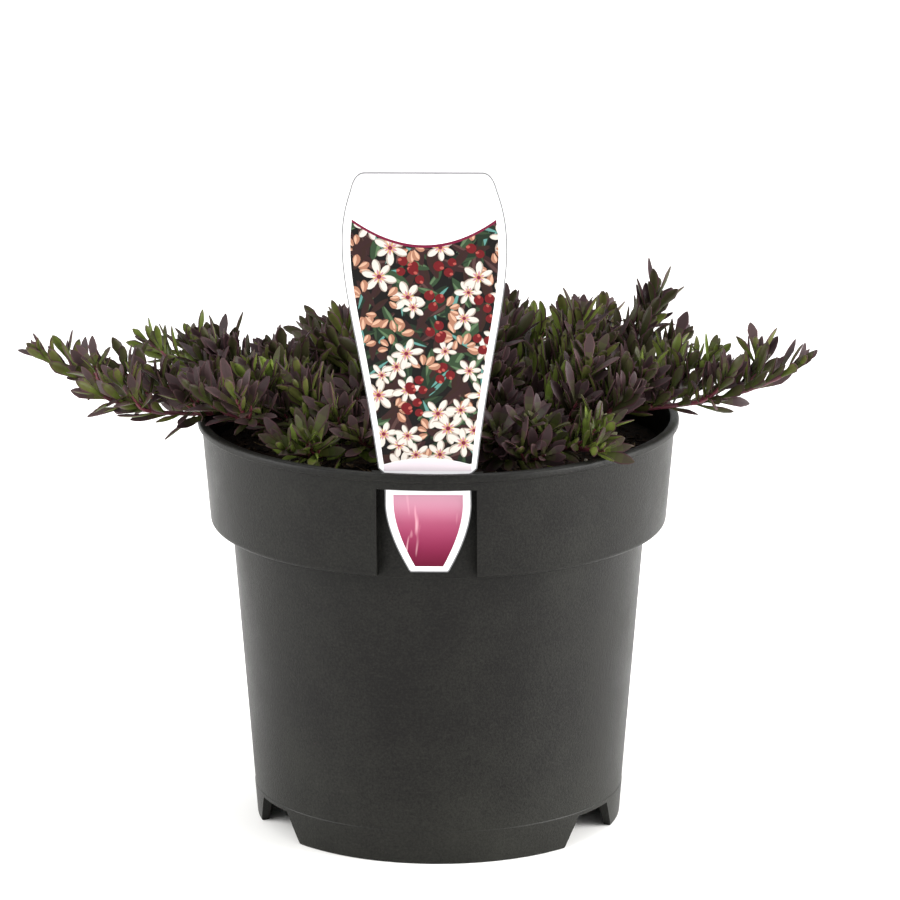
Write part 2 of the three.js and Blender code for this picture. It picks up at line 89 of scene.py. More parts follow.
def add_node(
    tree: NodeTree, kind: str, inputs: dict | None = None, **settings: object
) -> Node:
    """Add a node with its settings, and fill or link its inputs.

    Args:
        tree: The tree that gets the node.
        kind: Blender's name for the kind of node.
        inputs: A value or a socket to link from, by each input's name or number.
        **settings: The node's own properties.

    Returns:
        The new node.
    """
    node = tree.nodes.new(kind)
    for name, value in settings.items():
        setattr(node, name, value)
    for name, source in (inputs or {}).items():
        if isinstance(source, NodeSocket):
            tree.links.new(source, node.inputs[name])
        else:
            node.inputs[name].default_value = source
    return node


class Bench:
    """Where a tree's nodes are put together."""

    tree: NodeTree

    def add(
        self, kind: str, inputs: dict | None = None, out: int | str = 0, **settings: object
    ) -> NodeSocket:
        """Add a node as add_node does, and give one of its outputs."""
        return add_node(self.tree, kind, inputs, **settings).outputs[out]


# --- Finishes


@dataclass(frozen=True)
class Surface(Bench):
    """A material's nodes while its pattern is drawn: the tree, and the shader that ends it."""

    tree: NodeTree
    shader: Node

    def place(self) -> NodeSocket:
        """Give the place on the object, in metres."""
        return self.add("ShaderNodeTexCoord", out="Object")

    def clouds(
        self, place: NodeSocket, size_mm: float, detail: float,
        roughness: float = 0.5, distortion: float = 0.0,
    ) -> NodeSocket:
        """Draw fractal noise.

        Args:
            place: Where it is drawn.
            size_mm: The size of its largest clouds.
            detail: The number of finer layers.
            roughness: How strong each finer layer is.
            distortion: How far it is warped.

        Returns:
            The noise, about 0.5 on the whole.
        """
        return self.add("ShaderNodeTexNoise", {
            "Vector": place, "Scale": 1 / (size_mm * MM), "Detail": detail,
            "Roughness": roughness, "Distortion": distortion})

    def spread(
        self, value: NodeSocket, span: tuple[float, float],
        onto: tuple[float, float] = (0.0, 1.0),
    ) -> NodeSocket:
        """Spread a span of values over another, and hold what lies outside at its ends."""
        return self.add("ShaderNodeMapRange", {
            "Value": value, "From Min": span[0], "From Max": span[1],
            "To Min": onto[0], "To Max": onto[1]})

    def dye(self, amount: NodeSocket, one: NodeSocket | Colour, other: Colour) -> None:
        """Colour the surface by an amount that leads from one colour to another.

        Args:
            amount: The other colour's share.
            one: The colour at 0.
            other: The colour at 1.
        """
        mix = {"Factor": amount, "A": one, "B": other}
        colour = self.add("ShaderNodeMix", mix, "Result", data_type="RGBA")
        self.tree.links.new(colour, self.shader.inputs["Base Color"])

    def relief(self, height: NodeSocket, strength: float, depth_mm: float) -> None:
        """Raise a fine relief by a height from 0 to 1, its strength and its whole depth."""
        bump = self.add("ShaderNodeBump", {
            "Height": height, "Strength": strength, "Distance": depth_mm * MM})
        self.tree.links.new(bump, self.shader.inputs["Normal"])


@dataclass(frozen=True)
class Finish:
    """A surface with one colour and gloss, to which each kind of finish adds its pattern."""

    name: str
    colour: str
    roughness: float
    ior: float = 1.5
    specular: float = 0.5

    def material(self) -> Material:
        """Make the finish's material.

        Returns:
            The material, or the one of that name if it is made already.
        """
        if self.name in bpy.data.materials:
            return bpy.data.materials[self.name]
        material = bpy.data.materials.new(self.name)
        material.use_nodes = True
        material.diffuse_color = linear(self.colour)
        tree = material.node_tree
        tree.nodes.clear()
        shader = add_node(tree, "ShaderNodeBsdfPrincipled", {
            "Base Color": linear(self.colour), "Roughness": self.roughness, "IOR": self.ior,
            "Specular IOR Level": self.specular})
        add_node(tree, "ShaderNodeOutputMaterial", {"Surface": shader.outputs["BSDF"]})
        self.pattern(Surface(tree, shader))
        return material

    def pattern(self, surface: Surface) -> None:
        """Leave the surface plain."""


@dataclass(frozen=True)
class MouldedPolypropylene(Finish):
    """Injection moulded polypropylene: a satin black skin, faintly mottled and dusty at its foot.

    The grain of the mould, about 0.2 mm across, is drawn at grain_mm so that it shows.
    """

    scuffed: str = "#22221e"
    mottle_mm: float = 26.0
    mottle_share: float = 0.5
    scuff_mm: float = 9.0
    scuff_share: float = 0.8
    scuff_squash: float = 7.0
    dust_mm: float = 60.0
    dust_share: float = 0.4
    grain_mm: float = 0.9
    grain_share: float = 0.4
    grain_depth_mm: float = 0.2
    grain_strength: float = 0.7
    gloss_span: tuple[float, float] = (-0.05, 0.07)

    def pattern(self, surface: Surface) -> None:
        """Mottle the colour and the gloss, scuff the skin, and raise the grain.

        Args:
            surface: The surface to dress.
        """
        place = surface.place()
        mottle = surface.clouds(place, self.mottle_mm, 5.0, 0.6)
        flat = surface.add(
            "ShaderNodeMapping", {"Vector": place, "Scale": (1.0, 1.0, self.scuff_squash)})
        scuffs = surface.clouds(flat, self.scuff_mm, 6.0, 0.7)
        worn = surface.spread(scuffs, (0.5, 0.85), (0.0, self.scuff_share))
        cloudy = surface.spread(mottle, (0.3, 0.75), (0.0, self.mottle_share))
        marked = surface.add("ShaderNodeMath", {0: worn, 1: cloudy}, operation="MAXIMUM")
        height = surface.add("ShaderNodeSeparateXYZ", {0: place}, "Z")
        dust = surface.spread(height, (0.0, self.dust_mm * MM), (self.dust_share, 0.0))
        grain = surface.clouds(place, self.grain_mm, 3.0, 0.7)
        speckle = surface.spread(grain, (0.3, 0.7), (-self.grain_share, self.grain_share))
        dusty = surface.add("ShaderNodeMath", {0: marked, 1: dust})
        amount = surface.add("ShaderNodeMath", {0: dusty, 1: speckle})
        surface.dye(amount, linear(self.colour), linear(self.scuffed))
        low, high = self.gloss_span
        gloss = surface.spread(mottle, (0.3, 0.7), (self.roughness + low, self.roughness + high))
        surface.tree.links.new(gloss, surface.shader.inputs["Roughness"])
        surface.relief(grain, self.grain_strength, self.grain_depth_mm)


@dataclass(frozen=True)
class CompostedBark(Finish):
    """Damp composted bark: near-black crumbs of several browns with a rough, broken surface."""

    dry: str = "#2a211b"
    crumb_mm: float = 2.4
    relief_mm: float = 1.2
    relief_strength: float = 0.8

    def pattern(self, surface: Surface) -> None:
        """Colour the crumbs apart, and break the surface up.

        Args:
            surface: The surface to dress.
        """
        place = surface.place()
        crumbs = surface.add("ShaderNodeTexVoronoi", {
            "Vector": place, "Scale": 1 / (self.crumb_mm * MM), "Randomness": 1.0}, "Color")
        shade = surface.add("ShaderNodeSeparateColor", {0: crumbs})
        surface.dye(shade, linear(self.colour), linear(self.dry))
        grit = surface.clouds(place, self.crumb_mm, 5.0, 0.65)
        surface.relief(grit, self.relief_strength, self.relief_mm)


@dataclass(frozen=True)
class YoungBark(Finish):
    """The thin bark of a shrub's young wood: red-brown, streaked along the limb with grey."""

    weathered: str = "#7a6a60"
    streak_mm: float = 3.0
    relief_mm: float = 0.25
    relief_strength: float = 0.6

    def pattern(self, surface: Surface) -> None:
        """Streak the colour, and roughen the bark.

        Args:
            surface: The surface to dress.
        """
        streaks = surface.clouds(surface.place(), self.streak_mm, 6.0, 0.7, 0.6)
        amount = surface.spread(streaks, (0.42, 0.72))
        surface.dye(amount, linear(self.colour), linear(self.weathered))
        surface.relief(streaks, self.relief_strength, self.relief_mm)


@dataclass(frozen=True)
class TongueInk(Finish):
    """Glossy ink on polypropylene: magenta paling upwards, and a few soft pale painted reflection
    streaks.
    """

    middle: str = "#973258"
    middle_share: float = 0.62
    pale: str = "#bc90a0"
    # The pale streaks are painted reflections: their colour, size, strength and stretch.
    reflection_tint: str = "#eebfc6"
    streak_mm: float = 5.0
    reflection_share: float = 0.75
    reflection_stretch: float = 0.12
    low_mm: float = 125.0
    high_mm: float = 153.0

    def pattern(self, surface: Surface) -> None:
        """Fade the ink upwards, and paint the pale reflection streaks.

        Args:
            surface: The surface to dress.
        """
        place = surface.place()
        height = surface.add("ShaderNodeSeparateXYZ", {0: place}, "Z")
        fade = surface.spread(height, (self.low_mm * MM, self.high_mm * MM))
        faded = surface.add("ShaderNodeValToRGB", {"Fac": fade})
        ramp = faded.node.color_ramp
        ramp.interpolation = "B_SPLINE"
        ramp.elements[0].color = linear(self.colour)
        ramp.elements[1].color = linear(self.pale)
        ramp.elements.new(self.middle_share).color = linear(self.middle)
        # Pale streaks painted over the ink as reflections, drawn out along the height.
        drawn = surface.add(
            "ShaderNodeMapping", {"Vector": place, "Scale": (1.0, 1.0, self.reflection_stretch)})
        reflection_wisps = surface.clouds(drawn, self.streak_mm, 1.0, distortion=1.2)
        amount = surface.spread(reflection_wisps, (0.6, 0.74), (0.0, self.reflection_share))
        surface.dye(amount, faded, linear(self.reflection_tint))


@dataclass(frozen=True)
class PaintedBoard(Finish):
    """A matt white studio board, with a trace of unevenness."""

    tired: str = "#f2f0ec"
    cloud_mm: float = 2000 / 3

    def pattern(self, surface: Surface) -> None:
        """Cloud the white by a trace."""
        clouds = surface.clouds(surface.place(), self.cloud_mm, 2.0)
        surface.dye(clouds, linear(self.colour), linear(self.tired))


POT_SKIN = MouldedPolypropylene("moulded_black_polypropylene", "#0d0c0b", 0.42, 1.49, 0.14)
MIX_GROUND = CompostedBark("damp_composted_bark", "#0e0b09", 0.95, 1.4, 0.2)
MIX_CHIP = YoungBark("composted_bark_chip", "#1d140e", 0.9, 1.4, 0.2, weathered="#3f3023")
MIX_FIBRE = Finish("dry_straw_fibre", "#6e5b3f", 0.8, 1.4)
MIX_CRUMB = Finish("pumice_crumb", "#857d70", 0.95, 1.4)
LABEL_SHEET = Finish("white_polypropylene_sheet", "#ecebec", 0.3, 1.49)
# A grey painted shade line: the label's cut sides, bevels and a thin rim of its faces, where the
# white sheet looks shaded at its edge.
LABEL_EDGE_SHADE = Finish("label_edge_painted_shade", "#6a6a6c", 0.6, 1.49)
WOOD_BARK = YoungBark("young_red_brown_bark", "#4a2f28", 0.8, 1.4)
STEM_SKIN = Finish("ripe_maroon_stem_skin", "#4d2029", 0.45, 1.42)
TWIG_SKIN = Finish("fresh_wine_stem_skin", "#67303a", 0.42, 1.42)
STUDIO_BOARD = PaintedBoard("matt_white_board", "#fbfaf8", 0.9, 1.4, 0.2)


class LeafColour(Enum):
    """The leaves' colours, in which waxy leaf skin has a soft gloss; the SHADE_ colours are darker
    copies that paint shade into the foliage.
    """

    SHADE_GREEN = "#31351d"
    SHADE_OLIVE = "#312f1e"
    SHADE_BROWN = "#2f291f"
    SHADE_PLUM = "#2b1e1f"
    OLIVE = "#3e4422"
    OLIVE_BROWN = "#3c3b25"
    BROWN = "#363025"
    PLUM = "#312425"
    LEAF_GREEN = "#505a26"
    KHAKI = "#4d4f28"
    UMBER = "#433d2b"
    DUSKY_PLUM = "#3e3030"
    MEADOW = "#5b682e"
    FRESH = "#6c7d36"
    LIME = "#7c8f4a"
    WINE_EDGE = "#3b262a"
    ROSE_EDGE = "#4c3537"

    def finish(self) -> Finish:
        """Give the leaf skin of this colour."""
        return Finish(f"waxy_leaf_{self.name.lower()}", self.value, 0.42, 1.42, 0.15)


def colours(names: str) -> tuple[LeafColour, ...]:
    """Give leaf colours by their names."""
    return tuple(LeafColour[name] for name in names.split())


class Tone(Enum):
    """How a leaf is coloured: four steps from foot to tip, its edge, and three steps below."""

    # The first tone is painted shade: darker copies of the leaf colours, standing in for shaded
    # leaves.
    DEEP = colours(
        "SHADE_OLIVE SHADE_BROWN SHADE_PLUM SHADE_PLUM WINE_EDGE "
        "SHADE_GREEN SHADE_OLIVE SHADE_BROWN")
    PLUM = colours("OLIVE_BROWN BROWN PLUM PLUM WINE_EDGE OLIVE OLIVE_BROWN BROWN")
    DUSKY = colours("KHAKI UMBER DUSKY_PLUM DUSKY_PLUM ROSE_EDGE LEAF_GREEN KHAKI UMBER")
    BRONZE = colours("OLIVE OLIVE_BROWN BROWN PLUM WINE_EDGE LEAF_GREEN KHAKI OLIVE_BROWN")
    OLIVE = colours("LEAF_GREEN OLIVE OLIVE_BROWN BROWN WINE_EDGE LEAF_GREEN LEAF_GREEN KHAKI")
    MOSS = colours("LEAF_GREEN KHAKI OLIVE OLIVE_BROWN BROWN MEADOW LEAF_GREEN KHAKI")
    FRESH = colours("MEADOW LEAF_GREEN LEAF_GREEN KHAKI OLIVE_BROWN FRESH MEADOW LEAF_GREEN")
    LIME = colours("LIME FRESH MEADOW MEADOW LEAF_GREEN LIME FRESH MEADOW")


TONES = list(Tone)
LEAF_COLOURS = list(LeafColour)


# --- Making meshes


def dress(thing: Object, *finishes: Finish) -> None:
    """Give a mesh object some finishes in place of those that it has.

    Args:
        thing: The mesh object.
        *finishes: The finishes, in the order of the faces' numbers for them.
    """
    thing.data.materials.clear()
    for finish in finishes:
        thing.data.materials.append(finish.material())


def add_object(name: str, data: ID | None) -> Object:
    """Put an object into the scene.

    Args:
        name: The object's name.
        data: Its mesh, curve, lamp or lens.

    Returns:
        The object, at the origin.
    """
    thing = bpy.data.objects.new(name, data)
    bpy.context.scene.collection.objects.link(thing)
    return thing


def mesh_object(
    name: str,
    corners: Sequence,
    faces: Sequence,
    finishes: Sequence[Finish] = (),
    paint: Sequence[int] | None = None,
) -> Object:
    """Make a smooth mesh object from corners and faces.

    Args:
        name: The object's name.
        corners: The corners' places, in metres.
        faces: Each face's corner numbers, anticlockwise from outside.
        finishes: Its finishes.
        paint: The number of each face's finish, if there are several.

    Returns:
        The object, in the scene.
    """
    mesh = bpy.data.meshes.new(name)
    mesh.from_pydata(corners, [], faces)
    mesh.polygons.foreach_set("use_smooth", [True] * len(mesh.polygons))
    thing = add_object(name, mesh)
    dress(thing, *finishes)
    if paint is not None:
        mesh.polygons.foreach_set("material_index", paint)
    mesh.update()
    return thing


def hand_over(piece: Object, nodes: Sequence[str]) -> None:
    """Give a finished piece to the frame, and report it.

    Args:
        piece: The finished object.
        nodes: The solids that the piece stands for.
    """
    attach(piece, BODY)
    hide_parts(*nodes)
    log.info("%s: %d faces for %d solids", piece.name, len(piece.data.polygons), len(nodes))


def evaluated_mesh(thing: Object) -> Mesh:
    """Make the plain mesh that an object's modifiers give."""
    settled = thing.evaluated_get(bpy.context.evaluated_depsgraph_get())
    return bpy.data.meshes.new_from_object(settled)


def settle(thing: Object) -> None:
    """Keep the mesh that an object's modifiers give, and remove the modifiers.

    Args:
        thing: The object.
    """
    mesh = evaluated_mesh(thing)
    thing.modifiers.clear()
    thing.data = mesh


class Joint(Enum):
    """How one solid is combined with another."""

    ADD = "UNION"
    TAKE = "DIFFERENCE"
    KEEP = "INTERSECT"


def combine(base: Object, how: Joint, tool: Object) -> None:
    """Combine a solid with a tool, which is used up.

    Args:
        base: The solid that is changed.
        how: What is kept of the two.
        tool: The other solid.
    """
    modifier = base.modifiers.new(how.name, "BOOLEAN")
    modifier.operation = how.value
    modifier.solver = "MANIFOLD"
    modifier.object = tool
    settle(base)
    bpy.data.objects.remove(tool)


def soften(thing: Object, width: float, least: float = 50.0) -> None:
    """Round an object's sharp edges.

    Args:
        thing: The object.
        width: The rounding's width in millimetres.
        least: The least angle of an edge that is rounded, in degrees.
    """
    bevel = thing.modifiers.new("soft_edges", "BEVEL")
    bevel.width = width * MM
    bevel.segments = 2
    bevel.limit_method = "ANGLE"
    bevel.angle_limit = radians(least)
    bevel.harden_normals = True
    settle(thing)


def rim_faces(thing: Object, width: float) -> None:
    """Draw a narrow rim round a sheet's two broad faces.

    Args:
        thing: The sheet.
        width: The rim's width in millimetres.
    """
    mesh = bmesh.new()
    mesh.from_mesh(thing.data)
    broad = sorted(mesh.faces, key=lambda face: -face.calc_area())[:2]
    bmesh.ops.inset_individual(mesh, faces=broad, thickness=width * MM, use_even_offset=True)
    mesh.to_mesh(thing.data)
    mesh.free()


@dataclass(frozen=True)
class Corner:
    """A corner of a turned outline: its distance from the axis, its height and its rounding."""

    radius: float
    height: float
    rounding: float = 0.0


def bezier(points: Sequence[Sequence[float]], steps: int) -> Line:
    """Find places along a Bezier curve of any degree.

    Args:
        points: The curve's control points.
        steps: The number of steps between the places.

    Returns:
        The places, the curve's two ends included.
    """
    places = []
    for step in range(steps + 1):
        row = [Vector(point) for point in points]
        while len(row) > 1:
            row = [one.lerp(other, step / steps) for one, other in zip(row, row[1:])]
        places.append(row[0])
    return places


def rounded(corners: Sequence[Corner], steps: int = 5) -> Line:
    """Round a turned outline's corners.

    Args:
        corners: The outline's corners.
        steps: The number of steps in each rounding.

    Returns:
        The outline as (radius, height) points.
    """
    points = [Vector((corner.radius, corner.height)) for corner in corners]
    outline = []
    for i, corner in enumerate(corners):
        if corner.rounding <= 0:
            outline.append(points[i])
            continue
        back = points[i - 1] - points[i]
        ahead = points[i + 1] - points[i]
        reach = corner.rounding / max(0.05, tan(back.angle(ahead) / 2))
        reach = min(reach, ROUNDING_SHARE * back.length, ROUNDING_SHARE * ahead.length)
        start = points[i] + back.normalized() * reach
        end = points[i] + ahead.normalized() * reach
        outline += bezier([start, points[i], end], steps)
    return outline


def ring_faces(first: int, count: int) -> list[tuple[int, int, int, int]]:
    """Give the faces from a ring of corners, by its first number and its count, to the next."""
    pairs = [(first + i, first + (i + 1) % count) for i in range(count)]
    return [(one, other, other + count, one + count) for one, other in pairs]


def turned(name: str, outline: Sequence[Sequence[float]], turns: Sequence[float]) -> Object:
    """Turn an outline round the Z axis.

    Args:
        name: The solid's name.
        outline: (radius, height) points in millimetres, from the axis round to the axis.
        turns: The angles that get a row of corners, in degrees.

    Returns:
        The closed solid.
    """
    rows = [point for point in outline if point[0] > ON_AXIS]
    count = len(turns)
    circle = [(cos(radians(a)), sin(radians(a))) for a in turns]
    corners = [(r * x * MM, r * y * MM, height * MM) for r, height in rows for x, y in circle]
    faces = [
        face for row in range(len(rows) - 1) for face in ring_faces(row * count, count)]
    corners += [(0, 0, outline[0][1] * MM), (0, 0, outline[-1][1] * MM)]
    last = (len(rows) - 1) * count
    for i in range(count):
        k = (i + 1) % count
        faces.append((k, i, len(corners) - 2))
        faces.append((last + i, last + k, len(corners) - 1))
    return mesh_object(name, corners, faces)


def block(name: str, low: Sequence[float], high: Sequence[float]) -> Object:
    """Make a box, as a tool for cutting.

    Args:
        name: The box's name.
        low: Its lowest corner, in millimetres.
        high: The corner opposite.

    Returns:
        The closed solid.
    """
    xs, ys, zs = ([low[i] * MM, high[i] * MM] for i in range(3))
    corners = [(x, y, z) for z in zs for y in ys for x in xs]
    faces = [(0, 2, 3, 1), (4, 5, 7, 6), (0, 1, 5, 4), (2, 6, 7, 3), (0, 4, 6, 2), (1, 3, 7, 5)]
    return mesh_object(name, corners, faces)


def prism(name: str, outline: Sequence[Sequence[float]], depth: float, place: Matrix) -> Object:
    """Extrude a flat outline and put it in its place.

    Args:
        name: The solid's name.
        outline: (x, y) points in millimetres, anticlockwise.
        depth: The thickness, half of it to each side of the outline.
        place: Where the outline's plane goes.

    Returns:
        The closed solid.
    """
    count = len(outline)
    corners = [
        (place @ Vector((x, y, z))) * MM for z in (-depth / 2, depth / 2) for x, y in outline]
    caps = [tuple(reversed(range(count))), tuple(range(count, 2 * count))]
    return mesh_object(name, corners, [*caps, *ring_faces(0, count)])


class MeshTree(Bench):
    """A Geometry Nodes tree with named inputs, which is run once to give a plain mesh."""

    NAME = "plain"
    INPUTS: dict[str, str] = {}

    def __init__(self) -> None:
        """Make the tree with its sockets, and fill it."""
        self.tree = bpy.data.node_groups.new(self.NAME, "GeometryNodeTree")
        face = self.tree.interface
        face.new_socket("Geometry", in_out="INPUT", socket_type="NodeSocketGeometry")
        self.sockets = {
            name: face.new_socket(name, in_out="INPUT", socket_type=f"NodeSocket{kind}").identifier
            for name, kind in self.INPUTS.items()}
        face.new_socket("Geometry", in_out="OUTPUT", socket_type="NodeSocketGeometry")
        given = add_node(self.tree, "NodeGroupInput").outputs
        real = self.add("GeometryNodeRealizeInstances", {0: self.shape(given)})
        dressed = self.add("GeometryNodeSetMaterial", {
            "Geometry": real, "Material": given["Material"]})
        add_node(self.tree, "NodeGroupOutput", {0: dressed})

    def shape(self, given: NodeOutputs) -> NodeSocket:
        """Leave the given geometry as it is."""
        return given["Geometry"]

    def run(self, name: str, source: Object, values: dict[str, object]) -> Object:
        """Run the tree on an object.

        Args:
            name: The piece's name.
            source: The object, which stays as it is.
            values: The inputs' values by name.

        Returns:
            The piece, a plain mesh.
        """
        modifier = source.modifiers.new(name, "NODES")
        modifier.node_group = self.tree
        for key, value in values.items():
            modifier[self.sockets[key]] = value
        piece = add_object(name, evaluated_mesh(source))
        source.modifiers.remove(modifier)
        return piece


# --- Pot and growing mix


@dataclass
class Pot:
    """A moulded nursery pot with a deep collar, a label pocket and a notched foot."""

    height: float = 163.0
    rim_radius: float = 95.0
    lip_height: float = 3.4
    lip_overhang: float = 1.7
    collar_depth: float = 40.5
    collar_bottom_radius: float = 90.4
    shoulder_drop: float = 3.6
    body_top_radius: float = 81.6
    base_radius: float = 72.3
    wall: float = 1.8
    foot_width: float = 3.2
    channel_height: float = 10.5
    centre_disc_radius: float = 40.0
    channel_inner_radius: float = 46.0
    floor: float = 2.0
    channel_skin: float = 1.0
    seam_height: float = 13.6
    seam_step: float = 0.16
    hem_height: float = 1.9
    hem_inset: float = 0.4
    lip_slope: float = 0.5
    sides: int = 192
    notch_count: int = 3
    notch_first_angle: float = -30.0
    notch_height: float = 12.0
    notch_foot_width: float = 36.0
    notch_top_width: float = 21.0
    drain_count: int = 6
    drain_radius: float = 4.5
    drain_sides: int = 24
    drain_ring_radius: float = 57.0
    pocket_half_width: float = 19.3
    pocket_side_wall: float = 2.0
    pocket_floor_proud: float = 1.6
    pocket_wall_drop: float = 1.5
    band_height: float = 6.5
    band_thickness: float = 2.0
    slot_half_width: float = 17.7
    edge_rounding: float = 0.35
    tool_overrun: float = 5.0

    @property
    def collar_foot(self) -> float:
        """Height of the collar's lower edge."""
        return self.height - self.collar_depth

    @property
    def shoulder_foot(self) -> float:
        """Height at which the body meets the shoulder."""
        return self.collar_foot - self.shoulder_drop

    @property
    def lip_foot(self) -> float:
        """Height of the lip's lower edge."""
        return self.height - self.lip_height

    @property
    def turns(self) -> list[float]:
        """Angles of the rows of corners round the pot."""
        return [i * 360 / self.sides for i in range(self.sides)]

    def body_radius(self, height: float) -> float:
        """Give the body's outer radius at a height."""
        slope = (self.body_top_radius - self.base_radius) / self.collar_foot
        return self.base_radius + slope * height

    def outer_wall(self) -> list[Corner]:
        """Give the outside's corners, from the middle of the underside to the top of the lip."""
        collar_top = self.rim_radius - self.lip_overhang
        seam = self.body_radius(self.seam_height)
        hem_radius = self.collar_bottom_radius - self.hem_inset
        return [
            Corner(0, 0),
            Corner(self.centre_disc_radius + self.channel_skin, 0, 0.6),
            Corner(self.channel_inner_radius + self.channel_skin, self.channel_height, 1.0),
            Corner(self.base_radius - self.foot_width, self.channel_height, 0.6),
            Corner(self.base_radius - self.foot_width, 0, 0.3),
            Corner(self.base_radius, 0, 0.9),
            Corner(seam + self.seam_step * 0.4, self.seam_height - 0.25, 0.1),
            Corner(seam - self.seam_step * 0.6, self.seam_height + 0.1, 0.1),
            Corner(self.body_top_radius, self.shoulder_foot, 1.2),
            Corner(hem_radius, self.collar_foot - self.hem_height, 2.6),
            Corner(collar_top, self.lip_foot, 0.7),
            Corner(self.rim_radius, self.lip_foot + self.lip_slope, 0.7),
            Corner(self.rim_radius, self.height, 1.5),
        ]

    def inner_wall(self, margin: float = 0.0) -> list[Corner]:
        """Give the inside's corners down to the axis.

        Args:
            margin: How far the corners are moved inwards, in millimetres.

        Returns:
            The corners, from below the lip to the middle of the floor.
        """
        level = self.floor + margin
        inset = self.wall + margin
        return [
            Corner(self.rim_radius - self.lip_overhang - inset, self.lip_foot),
            Corner(self.collar_bottom_radius - inset, self.collar_foot + inset, 1.5),
            Corner(self.body_top_radius - inset, self.shoulder_foot + inset, 1.5),
            Corner(self.base_radius - inset, self.channel_height + level, 0.6),
            Corner(self.channel_inner_radius - margin, self.channel_height + level, 0.6),
            Corner(self.centre_disc_radius - margin, level, 0.6),
            Corner(0, level),
        ]

    def pocket_core(self, inset: float) -> Object:
        """Make the cone inside the pocket's floor.

        Args:
            inset: How far it is moved inwards, in millimetres.

        Returns:
            The cone, longer than the pocket at both ends.
        """
        low = self.shoulder_foot - 2 * self.tool_overrun
        high = self.height + 2 * self.tool_overrun
        proud = self.pocket_floor_proud - inset
        outline = [
            (0, low), (self.body_radius(low) + proud, low),
            (self.body_radius(high) + proud, high), (0, high)]
        return turned("pocket_core", outline, self.turns)

    def pocket_block(self, half_width: float, low: float, high: float) -> Object:
        """Make the box that bounds the pocket, given its half width and heights."""
        front, back = -self.rim_radius - self.tool_overrun, -self.base_radius / 2
        return block("pocket_block", (-half_width, front, low), (half_width, back, high))

    def foot_notch(self, angle: float) -> Object:
        """Make the tapered tool that cuts one notch through the foot.

        Args:
            angle: The notch's compass angle.

        Returns:
            The tool, in its place.
        """
        foot, top = self.notch_foot_width / 2, self.notch_top_width / 2
        outline = [(-foot, -1), (foot, -1), (top, self.notch_height), (-top, self.notch_height)]
        turn = Matrix.Rotation(radians(angle + 90), 4, "Z")
        stand = Matrix.Translation((0, -self.base_radius, 0)) @ Matrix.Rotation(pi / 2, 4, "X")
        return prism("notch", outline, self.foot_width * 6, turn @ stand)

    def drain_hole(self, angle: float) -> Object:
        """Make the tool that drills one drain hole.

        Args:
            angle: The hole's compass angle.

        Returns:
            The tool, in its place.
        """
        ring = [radians(i * 360 / self.drain_sides) for i in range(self.drain_sides)]
        outline = [(self.drain_radius * cos(a), self.drain_radius * sin(a)) for a in ring]
        turn = Matrix.Rotation(radians(angle), 4, "Z")
        level = self.channel_height + self.floor / 2
        stand = Matrix.Translation((self.drain_ring_radius, 0, level))
        return prism("drain", outline, 4 * self.floor, turn @ stand)

    def build(self) -> None:
        """Make the pot and hand it over."""
        outside = self.outer_wall()
        lip = Corner(self.rim_radius - self.lip_overhang - self.wall, self.height, 0.9)
        pot = turned("pot_shell", rounded([*outside, lip, *self.inner_wall()]), self.turns)
        filled = turned("filled", rounded([*outside, Corner(0, self.height)]), self.turns)
        backing = self.pocket_block(
            self.pocket_half_width + self.pocket_side_wall, self.shoulder_foot,
            self.height - self.pocket_wall_drop)
        combine(backing, Joint.KEEP, filled)
        combine(backing, Joint.TAKE, self.pocket_core(self.wall))
        combine(pot, Joint.ADD, backing)
        band_foot = self.height - self.band_height
        pocket = self.pocket_block(self.pocket_half_width, self.shoulder_foot - 2, band_foot)
        combine(pocket, Joint.TAKE, self.pocket_core(0))
        combine(pot, Joint.TAKE, pocket)
        band_radius = self.rim_radius - self.lip_overhang - self.band_thickness
        top = self.height + self.tool_overrun
        inside_band = turned("inside_band", [
            (0, self.collar_foot), (band_radius, self.collar_foot), (band_radius, top), (0, top),
        ], self.turns)
        slot = self.pocket_block(self.slot_half_width, band_foot - 1, self.height + 4)
        combine(slot, Joint.KEEP, inside_band)
        combine(slot, Joint.TAKE, self.pocket_core(0))
        combine(pot, Joint.TAKE, slot)
        for i in range(self.notch_count):
            angle = self.notch_first_angle + i * 360 / self.notch_count
            combine(pot, Joint.TAKE, self.foot_notch(angle))
        for i in range(self.drain_count):
            combine(pot, Joint.TAKE, self.drain_hole(i * 360 / self.drain_count))
        soften(pot, self.edge_rounding)
        dress(pot, POT_SKIN)
        hand_over(pot, ["pot"])


@dataclass(frozen=True)
class Litter:
    """One kind of loose bit on the growing mix: its name, size in millimetres and number."""

    name: str
    finish: Finish
    length: float
    width: float
    thickness: float
    per_square_metre: float
    reach: float
    seed: int


LITTER = (
    Litter("mix_chips", MIX_CHIP, 5.0, 2.6, 1.3, 90000, 81.0, 3),
    Litter("mix_fibres", MIX_FIBRE, 9.0, 0.5, 0.35, 9000, 77.0, 5),
    Litter("mix_crumbs", MIX_CRUMB, 1.7, 1.5, 1.2, 5000, 82.0, 8),
)


